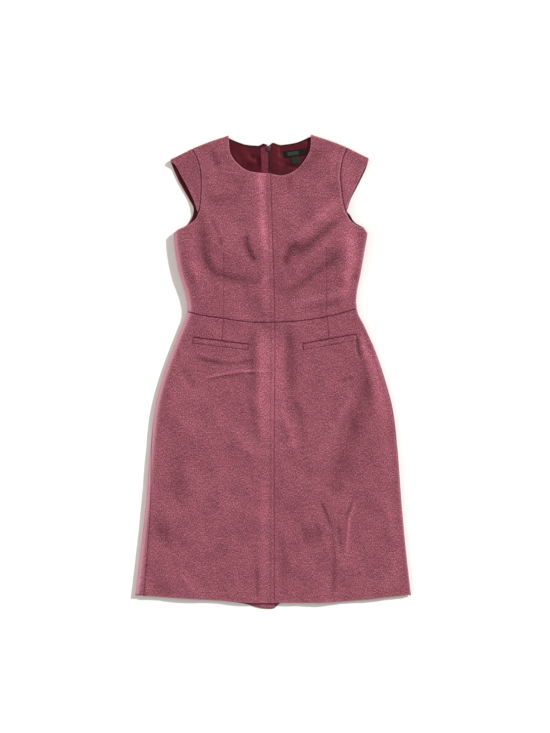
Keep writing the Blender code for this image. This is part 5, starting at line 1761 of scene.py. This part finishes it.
class DRESS_OT_zip(bpy.types.Operator):
    """Adds the zip's tapes and coil, and finishes its slider and pull tab"""

    bl_idname = "dress.zip"
    bl_label = "Zip"

    def execute(self, context):
        colours = context.scene.dress_colours
        step = context.scene.dress_sizes.lining_step / MM
        tape = Fabric("woven", made("zip_tape", tape_finish, colours), "tape", TAPE_THICK, False, THIN_ROWS)
        coil = made("zip_coil", thread_finish, tuple(colours.tape))
        tooth = small_shape(*TOOTH_SIZE)
        for side in SIDES:
            cut = tape_runs(side, step)
            lay_cloth("zip_tape_" + side.name, tape, BACK, cut, step, out=tape_out)
            shift = 0.5 * TEETH_PITCH if side.sign > 0 else 0.0
            ys = np.arange(TEETH_FOOT, TEETH_TOP, TEETH_PITCH) + shift
            xs = centre_back(ys) + side.sign * TEETH_OUT
            place, ways = frames_along(BACK, np.stack([xs, ys], axis=1), tape_out(xs, ys) - TEETH_IN)
            copies("zip_teeth_" + side.name, tooth, place, ways, coil)
        metal = made("zip_metal", metal_finish, colours)
        for node in ("zip_slider", "zip_pull_tab"):
            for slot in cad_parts[node].material_slots:
                slot.material = metal
        return {"FINISHED"}


class DRESS_OT_labels(bpy.types.Operator):
    """Sews in the plain neck label and the plain tab under it"""

    bl_idname = "dress.labels"
    bl_label = "Labels"

    def execute(self, context):
        colours = context.scene.dress_colours
        length, height = LABEL_SIZE
        tab_width, tab_height = SIZE_TAB_SIZE
        tab_top = height + LAY_GAP
        band = tuple((x * MM, y * MM) for x, y in LABEL_BAND)
        label = made("label_woven", label_finish, colours.label, colours.label_lit, colours, band)
        tab = made("tab_woven", label_finish, colours.tab, colours.tab_lit, colours)
        patches = (
            ("neck_label", (0.0, 0.0, length, height), label),
            ("size_tab", (SIZE_TAB_ALONG, tab_top, SIZE_TAB_ALONG + tab_width, tab_top + tab_height), tab),
        )
        for node, (left, top, right, low), material in patches:
            corners = [tilted(left, top), tilted(right, top), tilted(right, low), tilted(left, low)]
            lay_cloth(
                node,
                Fabric("woven", material, "label", LABEL_THICK, False, LABEL_ROWS),
                BACK,
                closed_run(corners, LABEL_STEP),
                LABEL_STEP,
                out=label_out,
                map_of=label_map,
            )
        start, spare = LABEL_STITCH_ENDS
        downs = np.arange(start, height - spare, LABEL_STITCH_PITCH)
        columns = (LABEL_STITCH_IN, length - LABEL_STITCH_IN)
        ends = [tilted(along, down) for along in columns for down in downs]
        place, _ = laid(BACK, np.array(ends))
        top = WOOL + SATIN + 2 * LAY_GAP + LABEL_STITCH_OUT
        place = (place + np.array([0.0, 0.0, top])) * MM
        angle = math.radians(LABEL_TILT_DEG)
        turn_cos, turn_sin = math.cos(angle), math.sin(angle)
        axes = np.array([[turn_cos, turn_sin, 0], [-turn_sin, turn_cos, 0], [0, 0, 1]])
        thread = made("label_thread", thread_finish, tuple(colours.label_lit))
        ways = np.repeat(axes[None], len(place), axis=0)
        copies("label_stitches", small_shape(*LABEL_STITCH_SIZE), place, ways, thread)
        return {"FINISHED"}


class DRESS_OT_sleeves(bpy.types.Operator):
    """Lays both cap sleeves over the shoulder line"""

    bl_idname = "dress.sleeves"
    bl_label = "Cap sleeves"

    def execute(self, context):
        step = context.scene.dress_sizes.bodice_step / MM
        for side in SIDES:
            wool = wool_fabric(context, "sleeve_" + side.name)
            lay_cloth("cap_sleeve_" + side.name, wool, FRONT, sleeve_runs(side, step), step)
        return {"FINISHED"}


class DRESS_OT_front_bodice(bpy.types.Operator):
    """Lays the front bodice with its darts and folds"""

    bl_idname = "dress.front_bodice"
    bl_label = "Front bodice"

    def execute(self, context):
        step = context.scene.dress_sizes.bodice_step / MM
        for side in SIDES:
            stitched = Groove(topstitch_line(side, "bodice"), *TOPSTITCH_GROOVE)
            lay_cloth(
                "front_bodice_" + side.name,
                wool_fabric(context),
                FRONT,
                bodice_runs(side, FRONT, step),
                step,
                grooves=(DARTS["bodice"][side.name], stitched),
            )
        return {"FINISHED"}


class DRESS_OT_front_skirt(bpy.types.Operator):
    """Lays the front skirt with its darts, pocket mouths and folds"""

    bl_idname = "dress.front_skirt"
    bl_label = "Front skirt"

    def execute(self, context):
        step = context.scene.dress_sizes.skirt_step / MM
        for side in SIDES:
            stitched = Groove(topstitch_line(side, "skirt"), *TOPSTITCH_GROOVE)
            lay_cloth(
                "front_skirt_" + side.name,
                wool_fabric(context),
                FRONT,
                skirt_runs(side, FRONT, step),
                step,
                grooves=(DARTS["skirt"][side.name], stitched, *welt_grooves(side)),
            )
        return {"FINISHED"}


class DRESS_OT_welts(bpy.types.Operator):
    """Lays the pocket welts"""

    bl_idname = "dress.welts"
    bl_label = "Pocket welts"

    def execute(self, context):
        wool = wool_fabric(context)._replace(thick=WELT_THICK, pressed=False, rim_rows=WELT_ROWS)
        for side in SIDES:
            lay_cloth(
                "pocket_welt_" + side.name,
                wool,
                FRONT,
                closed_run(welt_corners(side), WELT_STEP),
                WELT_STEP,
                out=welt_out(side),
            )
        return {"FINISHED"}


class DRESS_OT_topstitch(bpy.types.Operator):
    """Sews the two rows of topstitching beside the centre front seam"""

    bl_idname = "dress.topstitch"
    bl_label = "Topstitching"

    def execute(self, context):
        sizes = context.scene.dress_sizes
        thread = made("topstitch_thread", thread_finish, tuple(context.scene.dress_colours.thread))
        width = 2 * sizes.thread_radius / MM
        stitch = small_shape(width, sizes.stitch_length / MM, TOPSTITCH_THREAD_HEIGHT * width)
        _, depth, _ = TOPSTITCH_GROOVE
        rise = SEAM_PAD * seam_pad(TOPSTITCH_OUT) - depth + TOPSTITCH_RISE
        for half in ("bodice", "skirt"):
            for side in SIDES:
                cut = np.array(evenly(topstitch_line(side, half), sizes.stitch_pitch / MM))
                place, ways = frames_along(FRONT, cut, np.full(len(cut), rise))
                copies(f"topstitch_{half}_{side.name}", stitch, place, ways, thread)
        return {"FINISHED"}


# In the order in which main calls them.
OPERATORS = (
    DRESS_OT_stage,
    DRESS_OT_back,
    DRESS_OT_lining,
    DRESS_OT_zip,
    DRESS_OT_labels,
    DRESS_OT_sleeves,
    DRESS_OT_front_bodice,
    DRESS_OT_front_skirt,
    DRESS_OT_welts,
    DRESS_OT_topstitch,
)
GROUPS = {"dress_sizes": DressSizes, "dress_colours": DressColours, "dress_stage": DressStage}


class DRESS_PT_panel(bpy.types.Panel):
    """Lists the dress's pieces and their settings"""

    bl_label = "Sheath dress"
    bl_idname = "DRESS_PT_panel"
    bl_space_type = "VIEW_3D"
    bl_region_type = "UI"
    bl_category = "Dress"

    def draw(self, context):
        for operator in OPERATORS:
            self.layout.operator(operator.bl_idname)
        for name, group in GROUPS.items():
            for setting in group.__annotations__:
                self.layout.prop(getattr(context.scene, name), setting)


CLASSES = (*GROUPS.values(), *OPERATORS, DRESS_PT_panel)


def register():
    for kind in CLASSES:
        bpy.utils.register_class(kind)
    for name, group in GROUPS.items():
        setattr(bpy.types.Scene, name, PointerProperty(type=group))


def unregister():
    for name in GROUPS:
        delattr(bpy.types.Scene, name)
    for kind in reversed(CLASSES):
        bpy.utils.unregister_class(kind)


def main():
    register()
    bpy.ops.dress.stage()
    bpy.ops.dress.back()
    bpy.ops.dress.lining()
    bpy.ops.dress.zip()
    bpy.ops.dress.labels()
    bpy.ops.dress.sleeves()
    bpy.ops.dress.front_bodice()
    bpy.ops.dress.front_skirt()
    bpy.ops.dress.welts()
    bpy.ops.dress.topstitch()


if __name__ == "__main__":
    main()
